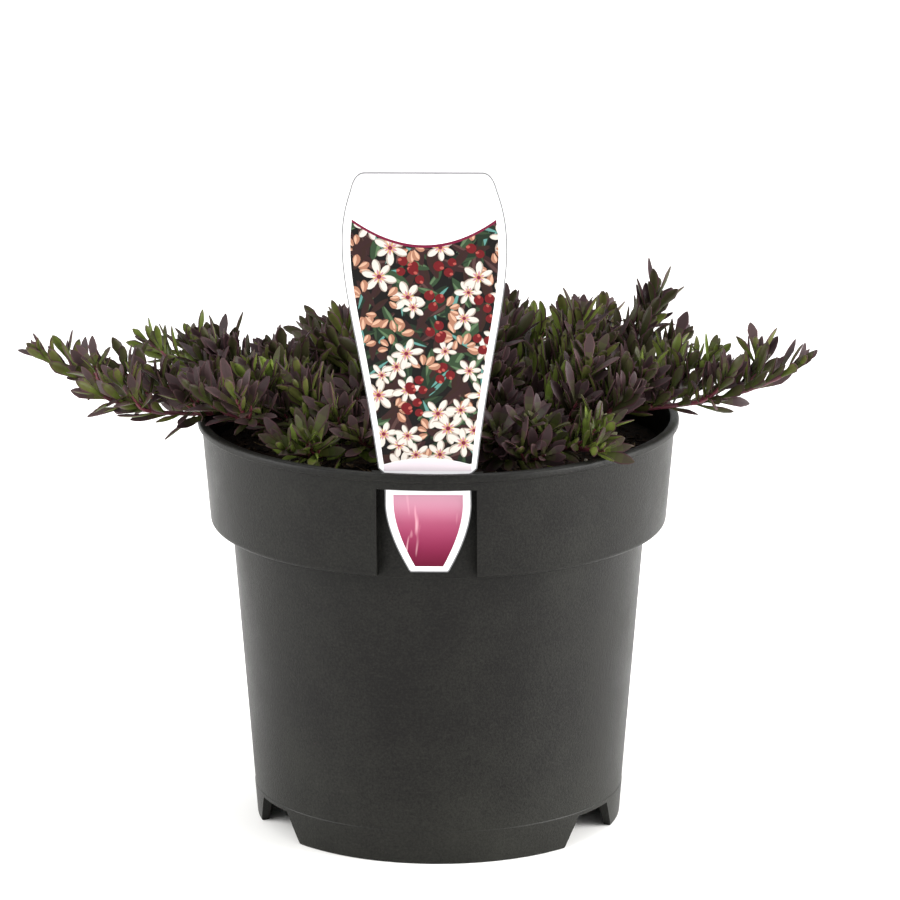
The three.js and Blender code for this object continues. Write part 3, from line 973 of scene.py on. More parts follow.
@dataclass
class GrowingMix:
    """The damp growing mix in the pot, with bark chips, fibres and crumbs on its top."""

    pot: Pot
    gap: float = 0.3
    edge_height: float = 148.0
    crown_height: float = 150.0
    rings: int = 40
    sides: int = 160
    lump: float = 1.1
    lump_size: float = 9.0

    def outline(self) -> Line:
        """Give the mix's outline, from the floor up the wall and in over the top."""
        wall = list(reversed(self.pot.inner_wall(self.gap)))
        top, low = wall.pop(), wall[-1]
        share = (self.edge_height - low.height) / (top.height - low.height)
        edge = low.radius + (top.radius - low.radius) * share
        points = rounded([*wall, Corner(edge, self.edge_height)])
        for i in range(1, self.rings + 1):
            inwards = i / self.rings
            rise = (self.crown_height - self.edge_height) * sin(inwards * pi / 2)
            points.append(Vector((edge * (1 - inwards), self.edge_height + rise)))
        return points

    def body(self) -> Object:
        """Make the mound with its lumpy top, cut clear of the label pocket."""
        turns = [i * 360 / self.sides for i in range(self.sides)]
        mound = turned("growing_mix", self.outline(), turns)
        for corner in mound.data.vertices:
            if corner.co.z > (self.edge_height + 0.05) * MM:
                lumps = noise.fractal(corner.co / (self.lump_size * MM), 0.7, 2.2, 4)
                corner.co.z += self.lump * MM * (lumps - 0.3)
        pot = self.pot
        pocket = pot.pocket_block(
            pot.pocket_half_width + pot.pocket_side_wall + self.gap,
            pot.shoulder_foot - self.gap, pot.height)
        combine(pocket, Joint.TAKE, pot.pocket_core(pot.wall + self.gap))
        combine(mound, Joint.TAKE, pocket)
        dress(mound, MIX_GROUND)
        return mound

    def build(self) -> None:
        """Make the mix and what lies on it, and hand them over."""
        mound = self.body()
        scatter = ScatterTree()
        for litter in LITTER:
            hand_over(scatter.over(mound, litter), ["soil"])
        hand_over(mound, ["soil"])


class ScatterTree(MeshTree):
    """A tree that strews crumpled bits over the level parts of a mesh.

    They keep within a reach of a point a little behind the axis, and so clear of the pocket.
    """

    NAME = "strewn_bits"
    INPUTS = {
        "Length": "Float", "Width": "Float", "Thickness": "Float", "Density": "Float",
        "Reach": "Float", "Seed": "Int", "Material": "Material"}
    BACK_MM = 4.0
    LEVEL = 0.6
    TURNS = ((-0.5, -0.4, 0.0), (0.5, 0.4, tau))
    SIZES = (0.45, 1.25)
    CREASES_PER_METRE = 900.0
    CREASE_MM = 2.0

    def shape(self, given: NodeOutputs) -> NodeSocket:
        """Choose the places, and lay a crumpled bit on each.

        Args:
            given: The tree's inputs.

        Returns:
            The bits.
        """
        normal = self.add("GeometryNodeInputNormal")
        rise = self.add("ShaderNodeSeparateXYZ", {0: normal}, "Z")
        level = self.add("FunctionNodeCompare", {0: rise, 1: self.LEVEL}, operation="GREATER_THAN")
        flat = self.add("ShaderNodeVectorMath", {
            0: self.add("GeometryNodeInputPosition"), 1: (1.0, 1.0, 0.0)}, operation="MULTIPLY")
        away = self.add("ShaderNodeVectorMath", {
            0: flat, 1: (0.0, self.BACK_MM * MM, 0.0)}, "Value", operation="DISTANCE")
        inside = self.add(
            "FunctionNodeCompare", {0: away, 1: given["Reach"]}, operation="LESS_THAN")
        chosen = self.add("FunctionNodeBooleanMath", {0: level, 1: inside}, operation="AND")
        points = self.add("GeometryNodeDistributePointsOnFaces", {
            "Mesh": given["Geometry"], "Selection": chosen, "Density": given["Density"],
            "Seed": given["Seed"]})
        size = self.add("ShaderNodeCombineXYZ", {
            0: given["Length"], 1: given["Width"], 2: given["Thickness"]})
        ball = self.add("GeometryNodeMeshIcoSphere", {"Radius": 0.5, "Subdivisions": 1})
        bit = self.add("GeometryNodeTransform", {"Geometry": ball, "Scale": size})
        turn = self.add("FunctionNodeRandomValue", {
            0: self.TURNS[0], 1: self.TURNS[1], "Seed": given["Seed"]}, data_type="FLOAT_VECTOR")
        grown = self.add("FunctionNodeRandomValue", {
            2: self.SIZES[0], 3: self.SIZES[1], "Seed": given["Seed"]}, 1, data_type="FLOAT")
        strewn = self.add("GeometryNodeInstanceOnPoints", {
            "Points": points, "Instance": bit, "Rotation": turn, "Scale": grown})
        real = self.add("GeometryNodeRealizeInstances", {0: strewn})
        crease = self.add(
            "ShaderNodeTexNoise", {"Scale": self.CREASES_PER_METRE, "Detail": 1.0}, "Color")
        centred = self.add(
            "ShaderNodeVectorMath", {0: crease, 1: (0.5, 0.5, 0.5)}, operation="SUBTRACT")
        push = self.add(
            "ShaderNodeVectorMath", {0: centred, "Scale": self.CREASE_MM * MM}, operation="SCALE")
        return self.add("GeometryNodeSetPosition", {"Geometry": real, "Offset": push})

    def over(self, ground: Object, litter: Litter) -> Object:
        """Strew one kind of litter over the ground.

        Args:
            ground: The mesh to strew it on.
            litter: The kind of bit, its size and number.

        Returns:
            The piece.
        """
        return self.run(litter.name, ground, {
            "Length": litter.length * MM, "Width": litter.width * MM,
            "Thickness": litter.thickness * MM, "Density": litter.per_square_metre,
            "Reach": litter.reach * MM, "Seed": litter.seed,
            "Material": litter.finish.material()})


# --- Plant label


def mirrored(line: Sequence[Vector]) -> Line:
    """Give a flat line's mirror image, the other way along."""
    return [Vector((-p.x, p.y)) for p in reversed(line)]


@dataclass
class PlantLabel:
    """A printed plastic label that stands in the pot's slot and leans out a little.

    Heights are measured up from its shoulders.
    """

    thickness: float = 0.6
    edge_rounding: float = 0.12
    # The next width is that of the grey painted shade line round each broad face.
    shade_rim_width: float = 0.42
    height: float = 120.4
    top_half: float = 23.1
    widest_half: float = 31.3
    widest_at: float = 91.0
    corner_drop: float = 12.5
    shoulder_half: float = 18.9
    shoulder_round: float = 2.2
    tongue_half: float = 16.6
    tongue_straight: float = 13.0
    tongue_length: float = 40.1
    tongue_tip_half: float = 7.9
    lean: float = 5.0
    roll: float = 0.5
    sidestep: float = 0.45
    stands_at: float = 88.7
    stands_up: float = 162.2
    margin_foot: float = 2.2
    margin_head: float = 3.4
    header_side: float = 100.9
    header_middle: float = 90.7
    footer_side: float = 3.8
    footer_middle: float = 6.4
    footer_foot: float = 1.2
    footer_gap: float = 0.2
    arc_width: float = 1.1
    panel_top: float = -8.5
    panel_foot: float = -37.7
    panel_margin: float = 3.3
    half: Line = field(init=False)

    def __post_init__(self) -> None:
        """Work out the right half of the outline, from the tongue's tip to the top."""
        corner = self.height - self.corner_drop
        self.half = [
            Vector((self.tongue_tip_half - 0.8, -self.tongue_length)),
            Vector((self.tongue_tip_half, -self.tongue_length + 0.8)),
            *bezier([
                (self.tongue_tip_half + 0.3, -self.tongue_length + 1.5),
                (self.tongue_half - 0.5, -self.tongue_length * 0.6),
                (self.tongue_half, -self.tongue_straight)], 14),
            Vector((self.tongue_half, 0)),
            Vector((self.shoulder_half - self.shoulder_round, 0)),
            Vector((self.shoulder_half, self.shoulder_round)),
            *bezier([
                (self.shoulder_half, self.shoulder_round), (self.shoulder_half + 5.3, 48),
                (self.widest_half, 70), (self.widest_half, self.widest_at)], 30)[1:],
            *bezier([
                (self.widest_half, self.widest_at), (self.widest_half, corner - 6),
                (self.top_half + 6.4, corner), (self.top_half + 4.6, self.height - 7)], 14)[1:],
            *bezier([
                (self.top_half + 4.6, self.height - 7), (self.top_half + 3, self.height),
                (self.top_half - 1, self.height)], 10)[1:],
        ]

    @property
    def place(self) -> Matrix:
        """Where the label's plane stands, in millimetres."""
        stand = Matrix.Translation((self.sidestep, -self.stands_at, self.stands_up))
        tilt = Matrix.Rotation(radians(90 + self.lean), 4, "X")
        return stand @ tilt @ Matrix.Rotation(radians(self.roll), 4, "Z")

    def half_width(self, height: float) -> float:
        """Give the label's half width at a height over its shoulders."""
        edge = [p for p in self.half if (p.y > 1) == (height > 0)]
        return float(np.interp(height, [p.y for p in edge], [p.x for p in edge]))

    def inner_half(self, height: float) -> float:
        """Give the picture's half width at a height, inside the white border."""
        widening = (self.margin_head - self.margin_foot) * height / self.header_side
        return self.half_width(height) - self.margin_foot - widening

    def outline(self) -> Line:
        """Give the whole outline, anticlockwise from the tongue's tip."""
        return [*self.half, *mirrored(self.half)]

    def arc(self, side: float, middle: float, shift: float = 0.0, steps: int = 24) -> Line:
        """Give an arc across the picture.

        Args:
            side: Its height at the picture's sides.
            middle: Its height in the middle.
            shift: How far it is moved up.
            steps: The number of steps along it.

        Returns:
            Its points from left to right.
        """
        reach = self.inner_half(side)
        shares = [2 * i / steps - 1 for i in range(steps + 1)]
        return [Vector((reach * s, middle + (side - middle) * s * s + shift)) for s in shares]

    def window(self) -> Line:
        """Give the picture's outline, anticlockwise from its lower left."""
        foot = self.arc(self.footer_side, self.footer_middle)
        head = self.arc(self.header_side, self.header_middle)
        levels = np.linspace(self.footer_side, self.header_side, 22)[1:-1]
        right = [Vector((self.inner_half(v), v)) for v in levels]
        return [*foot, *right, *reversed(head), *mirrored(right)]

    def footer(self) -> Line:
        """Give the outline of the tinted panel under the picture."""
        low = Vector((self.inner_half(2 * self.footer_foot), self.footer_foot))
        foot = self.arc(self.footer_side - self.footer_gap, self.footer_middle - self.footer_gap)
        return [Vector((-low.x, low.y)), low, *reversed(foot)]

    def panel(self) -> Line:
        """Give the outline of the coloured panel on the tongue."""
        levels = np.linspace(self.panel_foot, self.panel_top, 14)
        right = [Vector((self.half_width(v) - self.panel_margin, v)) for v in levels]
        return [*right, *mirrored(right)]

    def build(self) -> None:
        """Make the sheet, with a grey painted shade line round its edge, and its print, and hand
        them over.
        """
        sheet = prism("label_sheet", self.outline(), self.thickness, self.place)
        soften(sheet, self.edge_rounding)
        # The rim, bevels and cut sides get the grey painted shade line; the broad faces stay white.
        rim_faces(sheet, self.shade_rim_width)
        dress(sheet, LABEL_SHEET, LABEL_EDGE_SHADE)
        widest = max(face.area for face in sheet.data.polygons)
        for face in sheet.data.polygons:
            face.material_index = int(face.area < widest / 2)
        hand_over(sheet, ["label"])
        printing = LabelPrint(self)
        printing.draw()
        hand_over(printing.piece("label_print"), ["label"])


class Ink(Enum):
    """The flat inks of the label's print, under one clear gloss."""

    GROUND = "#0c0a09"
    UMBER = "#2a1914"
    SHADE_GREEN = "#182419"
    LEAF = "#293a26"
    LEAF_LIGHT = "#4b6044"
    SEA_GREEN = "#4f7d76"
    PLUM_LEAF = "#2b1818"
    PLUM_LIGHT = "#46302d"
    PETAL = "#bdb7af"
    PETAL_SHADE = "#94887e"
    BLUSH = "#a3707a"
    HEART = "#641d2d"
    STAMEN = "#b08f45"
    BERRY = "#5c1115"
    BERRY_LIGHT = "#94443c"
    BUD = "#8f6450"
    BUD_LIGHT = "#b8937c"
    TINT = "#d0c5ca"
    ARC = "#64122f"
    MAGENTA = "#430716"

    def finish(self) -> Finish:
        """Give the printed, varnished finish of this ink, with painted reflection streaks on the
        tongue.
        """
        kind, specular = (TongueInk, 0.05) if self is Ink.MAGENTA else (Finish, 0.12)
        return kind(f"varnished_ink_{self.name.lower()}", self.value, 0.45, 1.49, specular)


INKS = list(Ink)
LEAF_INKS = (
    (Ink.PLUM_LEAF, Ink.PLUM_LIGHT), (Ink.SHADE_GREEN, Ink.LEAF), (Ink.LEAF, Ink.LEAF_LIGHT),
    (Ink.UMBER, Ink.PLUM_LEAF), (Ink.PLUM_LEAF, Ink.UMBER), (Ink.SHADE_GREEN, Ink.SEA_GREEN))


def compass(turn: float) -> Vector:
    """Give the flat direction at a turn in radians."""
    return Vector((cos(turn), sin(turn)))


@dataclass(frozen=True)
class Blade:
    """A drawn leaf, petal, bud or berry: its size, where it is widest, and how blunt it is."""

    length: float
    width: float
    peak: float = 1.0
    bluntness: float = 0.8
    steps: int = 7

    def outline(self, foot: Vector, turn: float, aside: float) -> Line:
        """Give its outline.

        Args:
            foot: Where it starts.
            turn: The direction in which it points, in radians.
            aside: How far it is moved to its left.

        Returns:
            The outline's points, anticlockwise.
        """
        along = compass(turn)
        across = Vector((-along.y, along.x))
        left, right = [], []
        for i in range(1, self.steps):
            share = 0.5 - 0.5 * cos(pi * i / self.steps)
            half = self.width / 2 * sin(pi * share**self.peak) ** self.bluntness
            spot = foot + along * self.length * share + across * aside
            left.append(spot + across * half)
            right.append(spot - across * half)
        start = foot + across * aside
        return [start, *right, start + along * self.length, *reversed(left)]


@dataclass
class LabelPrint:
    """The label's inks: shapes drawn one over another, laid down as one flat mosaic.

    The picture is a made-up pattern of starry blossoms, buds, berries and leaves.
    """

    label: PlantLabel
    lift: float = 0.04
    pick: random.Random = field(default_factory=lambda: random.Random(11))
    leaf_spacing: float = 4.8
    blossom_spacing: float = 9.4
    row_share: float = 0.84
    stray_share: float = 0.32
    petals: int = 6
    outlines: list[Line] = field(default_factory=list)
    inks: list[Ink] = field(default_factory=list)
    framed: int = 0

    def lay(self, outline: Line, ink: Ink) -> None:
        """Draw one shape over those before it, in an ink."""
        self.outlines.append(outline)
        self.inks.append(ink)

    def stroke(self, blade: Blade, ink: Ink, foot: Vector, turn: float, aside: float = 0.0) -> None:
        """Draw one blade from its foot at a turn, moved aside."""
        self.lay(blade.outline(foot, turn, aside), ink)

    def draw(self) -> None:
        """Draw the picture, and then the arc, the footer and the tongue's panel round it."""
        label = self.label
        self.lay(label.window(), Ink.GROUND)
        for place in self.spots(self.leaf_spacing):
            self.leaf(place)
        kinds = (self.berries, self.buds, self.blossom, self.blossom, self.buds, self.blossom)
        for i, place in enumerate(self.spots(self.blossom_spacing)):
            kinds[i % len(kinds)](place)
        self.framed = len(self.outlines)
        head = label.arc(label.header_side, label.header_middle)
        above = label.arc(label.header_side, label.header_middle, label.arc_width)
        self.lay([*head, *reversed(above)], Ink.ARC)
        self.lay(label.footer(), Ink.TINT)
        self.lay(label.panel(), Ink.MAGENTA)

    def spots(self, spacing: float) -> Line:
        """Give loosely spaced places over the picture, shuffled.

        Args:
            spacing: The distance between neighbours.

        Returns:
            The places.
        """
        label, pick = self.label, self.pick
        step = spacing * self.row_share
        places = []
        for row in range(ceil(label.header_side / step) + 1):
            level = row * step + 2
            reach = label.inner_half(min(level, label.header_side))
            count = max(2, round(2 * reach / spacing))
            for i in range(count + 1):
                across = reach * (2 * (i + 0.5 * (row % 2)) / count - 1)
                stray = Vector((pick.uniform(-1, 1), pick.uniform(-1, 1)))
                places.append(Vector((across, level)) + stray * spacing * self.stray_share)
        pick.shuffle(places)
        return places

    def leaf(self, place: Vector) -> None:
        """Draw a leaf with one half lit.

        Args:
            place: Where its foot is.
        """
        pick = self.pick
        dark, light = pick.choice(LEAF_INKS)
        turn, length = pick.uniform(0, tau), pick.uniform(9, 14)
        width = length * pick.uniform(0.26, 0.34)
        self.stroke(Blade(length, width), dark, place, turn)
        self.stroke(Blade(length * 0.86, width * 0.34), light, place, turn, width * 0.2)

    def berries(self, place: Vector) -> None:
        """Draw a bunch of berries, each with its glint.

        Args:
            place: The middle of the bunch.
        """
        turn = self.pick.uniform(0, tau)
        for i in range(self.pick.choice((2, 3, 4))):
            size = self.pick.uniform(3.2, 4.2)
            foot = place + compass(turn + i * 1.9) * 2.6
            glint = Blade(size * 0.4, size * 0.3, 1.0, 0.5)
            self.stroke(Blade(size, size, 1.0, 0.5), Ink.BERRY, foot, turn)
            self.stroke(glint, Ink.BERRY_LIGHT, foot, turn, size * 0.18)

    def buds(self, place: Vector) -> None:
        """Draw a fan of buds with paler flanks.

        Args:
            place: Where they spring from.
        """
        turn = self.pick.uniform(0, tau)
        for i in range(self.pick.choice((3, 4))):
            aim = turn + i * 0.75 + self.pick.uniform(-0.15, 0.15)
            foot = place + compass(aim) * 1.6
            size = self.pick.uniform(3.6, 5.0)
            flank = Blade(size * 0.9, size * 0.24, 1.3, 0.7)
            self.stroke(Blade(size, size * 0.62, 1.3, 0.6), Ink.BUD, foot, aim)
            self.stroke(flank, Ink.BUD_LIGHT, foot, aim, size * 0.11)

    def blossom(self, place: Vector) -> None:
        """Draw a starry blossom: shaded petals, a blush, a dark heart and stamens.

        Args:
            place: Its middle.
        """
        pick = self.pick
        turn, size = pick.uniform(0, tau), pick.uniform(4.8, 7.2)
        for i in range(self.petals):
            aim = turn + (i + pick.uniform(-0.1, 0.1)) * tau / self.petals
            length = size * pick.uniform(0.86, 1.08)
            width = length * pick.uniform(0.4, 0.5)
            lit = Blade(length * 0.97, width * 0.78, 1.5, 0.62)
            self.stroke(Blade(length, width, 1.5, 0.62), Ink.PETAL_SHADE, place, aim)
            self.stroke(lit, Ink.PETAL, place, aim, width * 0.08)
            self.stroke(Blade(length * 0.42, width * 0.3, 0.8), Ink.BLUSH, place, aim)
        for i in range(self.petals):
            aim = turn + (i + 0.5) * tau / self.petals
            self.stroke(Blade(size * 0.36, size * 0.07, 1.6, 0.5, 4), Ink.STAMEN, place, aim)
        foot = place - Vector((size * 0.13, 0))
        self.stroke(Blade(size * 0.26, size * 0.26, 1.0, 0.5, 6), Ink.HEART, foot, 0.0)

    def piece(self, name: str) -> Object:
        """Lay the shapes' topmost inks down as one mesh.

        Args:
            name: The piece's name.

        Returns:
            The mesh object.
        """
        corners, loops = [], []
        for outline in self.outlines:
            loops.append(list(range(len(corners), len(corners) + len(outline))))
            corners += outline
        points, _, triangles, _, _, covers = delaunay_2d_cdt(corners, [], loops, 1, 1e-5, True)
        faces, paint = [], []
        for triangle, cover in zip(triangles, covers):
            shown = [i for i in cover if i >= self.framed or 0 in cover]
            if shown:
                faces.append(triangle)
                paint.append(INKS.index(self.inks[max(shown)]))
        lift = self.label.thickness / 2 + self.lift
        corners = [(self.label.place @ Vector((p.x, p.y, lift))) * MM for p in points]
        return mesh_object(name, corners, faces, [ink.finish() for ink in INKS], paint)


# --- Growth


def heading(angle: float, rise: float) -> Vector:
    """Give the direction at a compass angle and a rise over the level, in degrees."""
    flat, turn = cos(radians(rise)), radians(angle)
    return Vector((flat * cos(turn), flat * sin(turn), sin(radians(rise))))


def polar(angle: float, reach: float, height: float) -> Vector:
    """Give the place at a compass angle, a distance from the axis and a height."""
    flat = heading(angle, 0) * reach
    return Vector((flat.x, flat.y, height))


@dataclass
class NumberStream:
    """The repeatable numbers from 0 to 1 that the solids' twigs grow by, from a seed."""

    state: int

    def __call__(self) -> float:
        """Give the next number."""
        self.state = (self.state * 1664525 + 1013904223) % 2**32
        return self.state / 2**32


@dataclass
class Frame:
    """A place on a limb, with the directions along it, level to one side, and upwards."""

    place: Vector
    tangent: Vector
    side: Vector
    up: Vector

    def around(self, angle: float) -> Vector:
        """Give the direction at an angle in degrees round the limb from its level side."""
        return self.side * cos(radians(angle)) + self.up * sin(radians(angle))


@dataclass
class Path:
    """A limb's line: a curve that leaves its start and arrives at its end in given directions."""

    start: Vector
    leaving: Vector
    end: Vector
    arriving: Vector
    bend: float = 0.36
    steep: float = 0.99
    samples: int = 40
    points: Line = field(init=False)
    runs: list[float] = field(init=False)

    def __post_init__(self) -> None:
        """Lay the curve, and measure it."""
        reach = (self.end - self.start).length * self.bend
        near, far = self.start + self.leaving * reach, self.end - self.arriving * reach
        self.points = [self.start, near, far, self.end]
        places = bezier(self.points, self.samples)
        self.runs = [0.0]
        for one, other in zip(places, places[1:]):
            self.runs.append(self.runs[-1] + (other - one).length)

    @property
    def length(self) -> float:
        """The line's length in millimetres."""
        return self.runs[-1]

    def parameter(self, share: float) -> float:
        """Find the curve's parameter.

        Args:
            share: A share of the line's length.

        Returns:
            The parameter there, from 0 to 1.
        """
        run = share * self.length
        i = min(max(bisect.bisect_left(self.runs, run), 1), self.samples)
        within = (run - self.runs[i - 1]) / (self.runs[i] - self.runs[i - 1])
        return (i - 1 + within) / self.samples

    def at(self, share: float) -> Vector:
        """Give the place at a share of the length."""
        (p, q, r, s), t = self.points, self.parameter(share)
        u = 1 - t
        return p * u**3 + q * (3 * u * u * t) + r * (3 * u * t * t) + s * t**3

    def tangent(self, share: float) -> Vector:
        """Give the direction at a share of the length."""
        (p, q, r, s), t = self.points, self.parameter(share)
        u = 1 - t
        return ((q - p) * u * u + (r - q) * (2 * u * t) + (s - r) * t * t).normalized()

    def frame(self, share: float) -> Frame:
        """Find the directions across the limb.

        Args:
            share: A share of the line's length.

        Returns:
            The place there, with its directions.
        """
        tangent = self.tangent(share)
        level = Vector((1, 0, 0)) if abs(tangent.z) > self.steep else Vector((0, 0, 1))
        side = level.cross(tangent).normalized()
        return Frame(self.at(share), tangent, side, tangent.cross(side))


@dataclass(frozen=True)
class Tip:
    """A shoot's tip: compass angle, distance from the axis, height over the rim, steepness."""

    angle: float
    reach: float
    rise: float
    steepness: float


@dataclass(frozen=True)
class Bough:
    """A bough: name, compass angle, its fork's distance and height over the rim, and shoots."""

    name: str
    angle: float
    reach: float
    rise: float
    shoots: tuple[Tip, ...]


BOUGHS = (
    Bough("front_mid", -85, 24, -5, (Tip(-101, 56, 9, 48), Tip(-42, 38, 10, 60))),
    Bough("front", -51, 36, -6, (
        Tip(-66, 62, 7, 42), Tip(-57, 82, 2, 32), Tip(-46, 97, 4, 6))),
    Bough("front_right", -24, 34, -3, (Tip(-24, 84, 18, 52), Tip(-8, 62, 25, 74))),
    Bough("right_front", -6, 44, 1, (Tip(-6, 144, 26, 36), Tip(3, 110, 23, 50))),
    Bough("right", 14, 36, -3, (Tip(7, 58, 16, 66), Tip(20, 100, 21, 46))),
    Bough("right_rear", 33, 36, 1, (Tip(27, 62, 33, 78), Tip(35, 102, 32, 54))),
    Bough("rear_right", 59, 36, -2, (Tip(48, 96, 25, 56), Tip(72, 108, 13, 38))),
    Bough("rear_mid", 85, 36, -3, (Tip(68, 72, 25, 66), Tip(96, 120, 12, 32))),
    Bough("rear", 115, 36, -3, (Tip(103, 74, 24, 62), Tip(121, 112, 10, 34))),
    Bough("rear_left", 137, 34, -4, (Tip(129, 64, 24, 70), Tip(141, 92, 9, 44))),
    Bough("left_rear", 161, 42, -2, (
        Tip(150, 110, 14, 40), Tip(159, 128, 17, 36), Tip(169, 94, 22, 56))),
    Bough("left", 183, 50, 1, (Tip(177, 160, 21, 38), Tip(190, 138, 15, 36))),
    Bough("left_front", 206, 38, -4, (Tip(198, 78, 21, 64), Tip(206, 102, 19, 46))),
    Bough("front_left", 231, 30, -6, (
        Tip(215, 64, 18, 60), Tip(227, 84, 2, 38), Tip(243, 62, 5, 46))),
)
CENTRE_SHOOTS = (
    Tip(50, 26, 27, 80), Tip(150, 34, 22, 74),
    Tip(250, 24, 17, 76), Tip(335, 30, 20, 74))


class Growth(IntEnum):
    """How far a stem is from the wood."""

    SHOOT = 0
    TWIG = 1
    FINE_TWIG = 2


@dataclass
class Stem:
    """A leafy stem or twig: its line, thickness, bare foot and tone."""

    path: Path
    foot_radius: float
    tip_radius: float
    bare_share: float
    tone: int
    kind: Growth

    def radius(self, share: float) -> float:
        """Give the stem's radius at a share of its length."""
        return self.foot_radius + (self.tip_radius - self.foot_radius) * share


@dataclass
class Wood:
    """The woody frame: a short crown with a flare, and the boughs that start on it."""

    pot: Pot
    mix: GrowingMix
    gap: float = 0.3
    head_radius: float = 5.4
    waist_radius: float = 6.4
    flare: float = 4.0
    height: float = 14.0
    lean: float = 5.0
    lean_towards: float = 150.0
    levels: tuple[float, float] = (0.42, 0.8)
    start_radius: float = 1.7
    fork_radius: float = 1.4
    start_rise: float = 32.0
    fork_rise: float = 6.0
    centre_rise: float = 60.0
    shoot_sidestep: float = 1.35
    collar: float = 0.9
    sunk: float = 2.5
    relief: float = 0.22
    lobes: int = 5
    lobe_depth: float = 0.09

    def crown_radius(self, share: float) -> float:
        """Give the crown's radius, which narrows upwards from a flare at the soil."""
        flare = self.flare * max(0.0, 1 - share * 3) ** 2
        return self.waist_radius + (self.head_radius - self.waist_radius) * share + flare

    def crown_path(self) -> Path:
        """Give the crown's line."""
        foot = Vector((0, 0, self.mix.crown_height + self.gap))
        top = heading(self.lean_towards, 90 - self.lean)
        return Path(foot, Vector((0, 0, 1)), foot + top * self.height, top)

    def bough_path(self, order: int, plan: Bough) -> Path:
        """Give a bough's line, from the crown at one of two levels in turn to its fork.

        Args:
            order: The bough's number.
            plan: The bough's plan.

        Returns:
            Its line.
        """
        level = self.levels[order % 2]
        stand_off = self.start_radius * sin(radians(self.start_rise)) + self.gap
        start = self.crown_path().at(level)
        start += heading(plan.angle, 0) * (self.crown_radius(level) + stand_off)
        fork = polar(plan.angle, plan.reach, self.pot.height + plan.rise)
        return Path(
            start, heading(plan.angle, self.start_rise), fork, heading(plan.angle, self.fork_rise))

    def shoot_paths(self) -> list[Path]:
        """Give the lines of all shoots: those past each bough's fork, then the centre ones."""
        paths = []
        for order, plan in enumerate(BOUGHS):
            bough = self.bough_path(order, plan)
            leaving = bough.tangent(1)
            side = Vector((0, 0, 1)).cross(leaving).normalized()
            for index, tip in enumerate(plan.shoots):
                aside = (index - (len(plan.shoots) - 1) / 2) * 2 * self.shoot_sidestep
                start = bough.at(1) + leaving * self.gap + side * aside
                end = polar(tip.angle, tip.reach, self.pot.height + tip.rise)
                set_off = (leaving + (end - bough.at(1)).normalized()).normalized()
                paths.append(Path(start, set_off, end, heading(tip.angle, tip.steepness)))
        crown = self.crown_path()
        for tip in CENTRE_SHOOTS:
            start = crown.at(1) + heading(tip.angle, 0) * self.head_radius * 0.5
            start += crown.tangent(1) * 3 * self.gap
            end = polar(tip.angle, tip.reach, self.pot.height + tip.rise)
            leaving = heading(tip.angle, self.centre_rise)
            paths.append(Path(start, leaving, end, heading(tip.angle, tip.steepness)))
        return paths

    def sleeve(
        self, path: Path, radius_at: Skin, sides: int, steps: int, first: int
    ) -> tuple[list, list]:
        """Make a closed tube round a line.

        Args:
            path: The line.
            radius_at: The radius at a share of the length and an angle in degrees.
            sides: The number of corners round it.
            steps: The number of steps along it.
            first: The number of its first corner.

        Returns:
            Its corners and faces.
        """
        corners = []
        for step in range(steps + 1):
            frame = path.frame(step / steps)
            for i in range(sides):
                angle = i * 360 / sides
                corners.append(frame.place + frame.around(angle) * radius_at(step / steps, angle))
        faces = [
            face for step in range(steps) for face in ring_faces(first + step * sides, sides)]
        faces.append(tuple(first + i for i in reversed(range(sides))))
        faces.append(tuple(first + steps * sides + i for i in range(sides)))
        return [tuple(corner * MM) for corner in corners], faces

    def bark_relief(self, path: Path) -> Skin:
        """Give a limb's relief: fine furrows along it and the rings that old leaves left.

        Args:
            path: The limb's line.

        Returns:
            The relief's height at a share of the length and an angle in degrees.
        """
        offset = path.points[0]

        def relief(share: float, angle: float) -> float:
            """Give the relief's height."""
            turn = radians(angle)
            spot = Vector((cos(turn) * 2, sin(turn) * 2, share * path.length * 0.35))
            rings = max(0.0, sin(share * path.length * 1.9 + sin(turn) * 1.3)) ** 6
            return self.relief * (noise.fractal(spot + offset, 0.8, 2.1, 3) + 0.5 * rings)

        return relief

    def build(self) -> None:
        """Make the crown and boughs as one mesh, and hand it over."""
        crown = self.crown_path()
        bark = self.bark_relief(crown)

        def crown_skin(share: float, angle: float) -> float:
            """Give the crown's radius, with its lobes and bark."""
            wave = 1 + self.lobe_depth * cos(radians(angle * self.lobes)) * (1 - share)
            return self.crown_radius(share) * wave + 2 * bark(share, angle)

        corners, faces = self.sleeve(crown, crown_skin, 40, 30, 0)
        nodes = ["crown"]
        for order, plan in enumerate(BOUGHS):
            path = self.bough_path(order, plan)
            skin = self.bark_relief(path)
            sunk = Path(
                path.at(0) - heading(plan.angle, self.start_rise) * self.sunk, path.tangent(0),
                path.at(1), path.tangent(1))

            def bough_skin(share: float, angle: float, skin: Skin = skin) -> float:
                """Give the bough's radius, with the collar at its foot and its bark."""
                taper = self.start_radius + (self.fork_radius - self.start_radius) * share
                collar = self.collar * max(0.0, 1 - share * 7) ** 2
                return taper + collar + skin(share, angle)

            more, sides = self.sleeve(sunk, bough_skin, 14, 44, len(corners))
            corners += more
            faces += sides
            nodes.append(f"bough_{plan.name}")
        hand_over(mesh_object("woody_frame", corners, faces, [WOOD_BARK]), nodes)


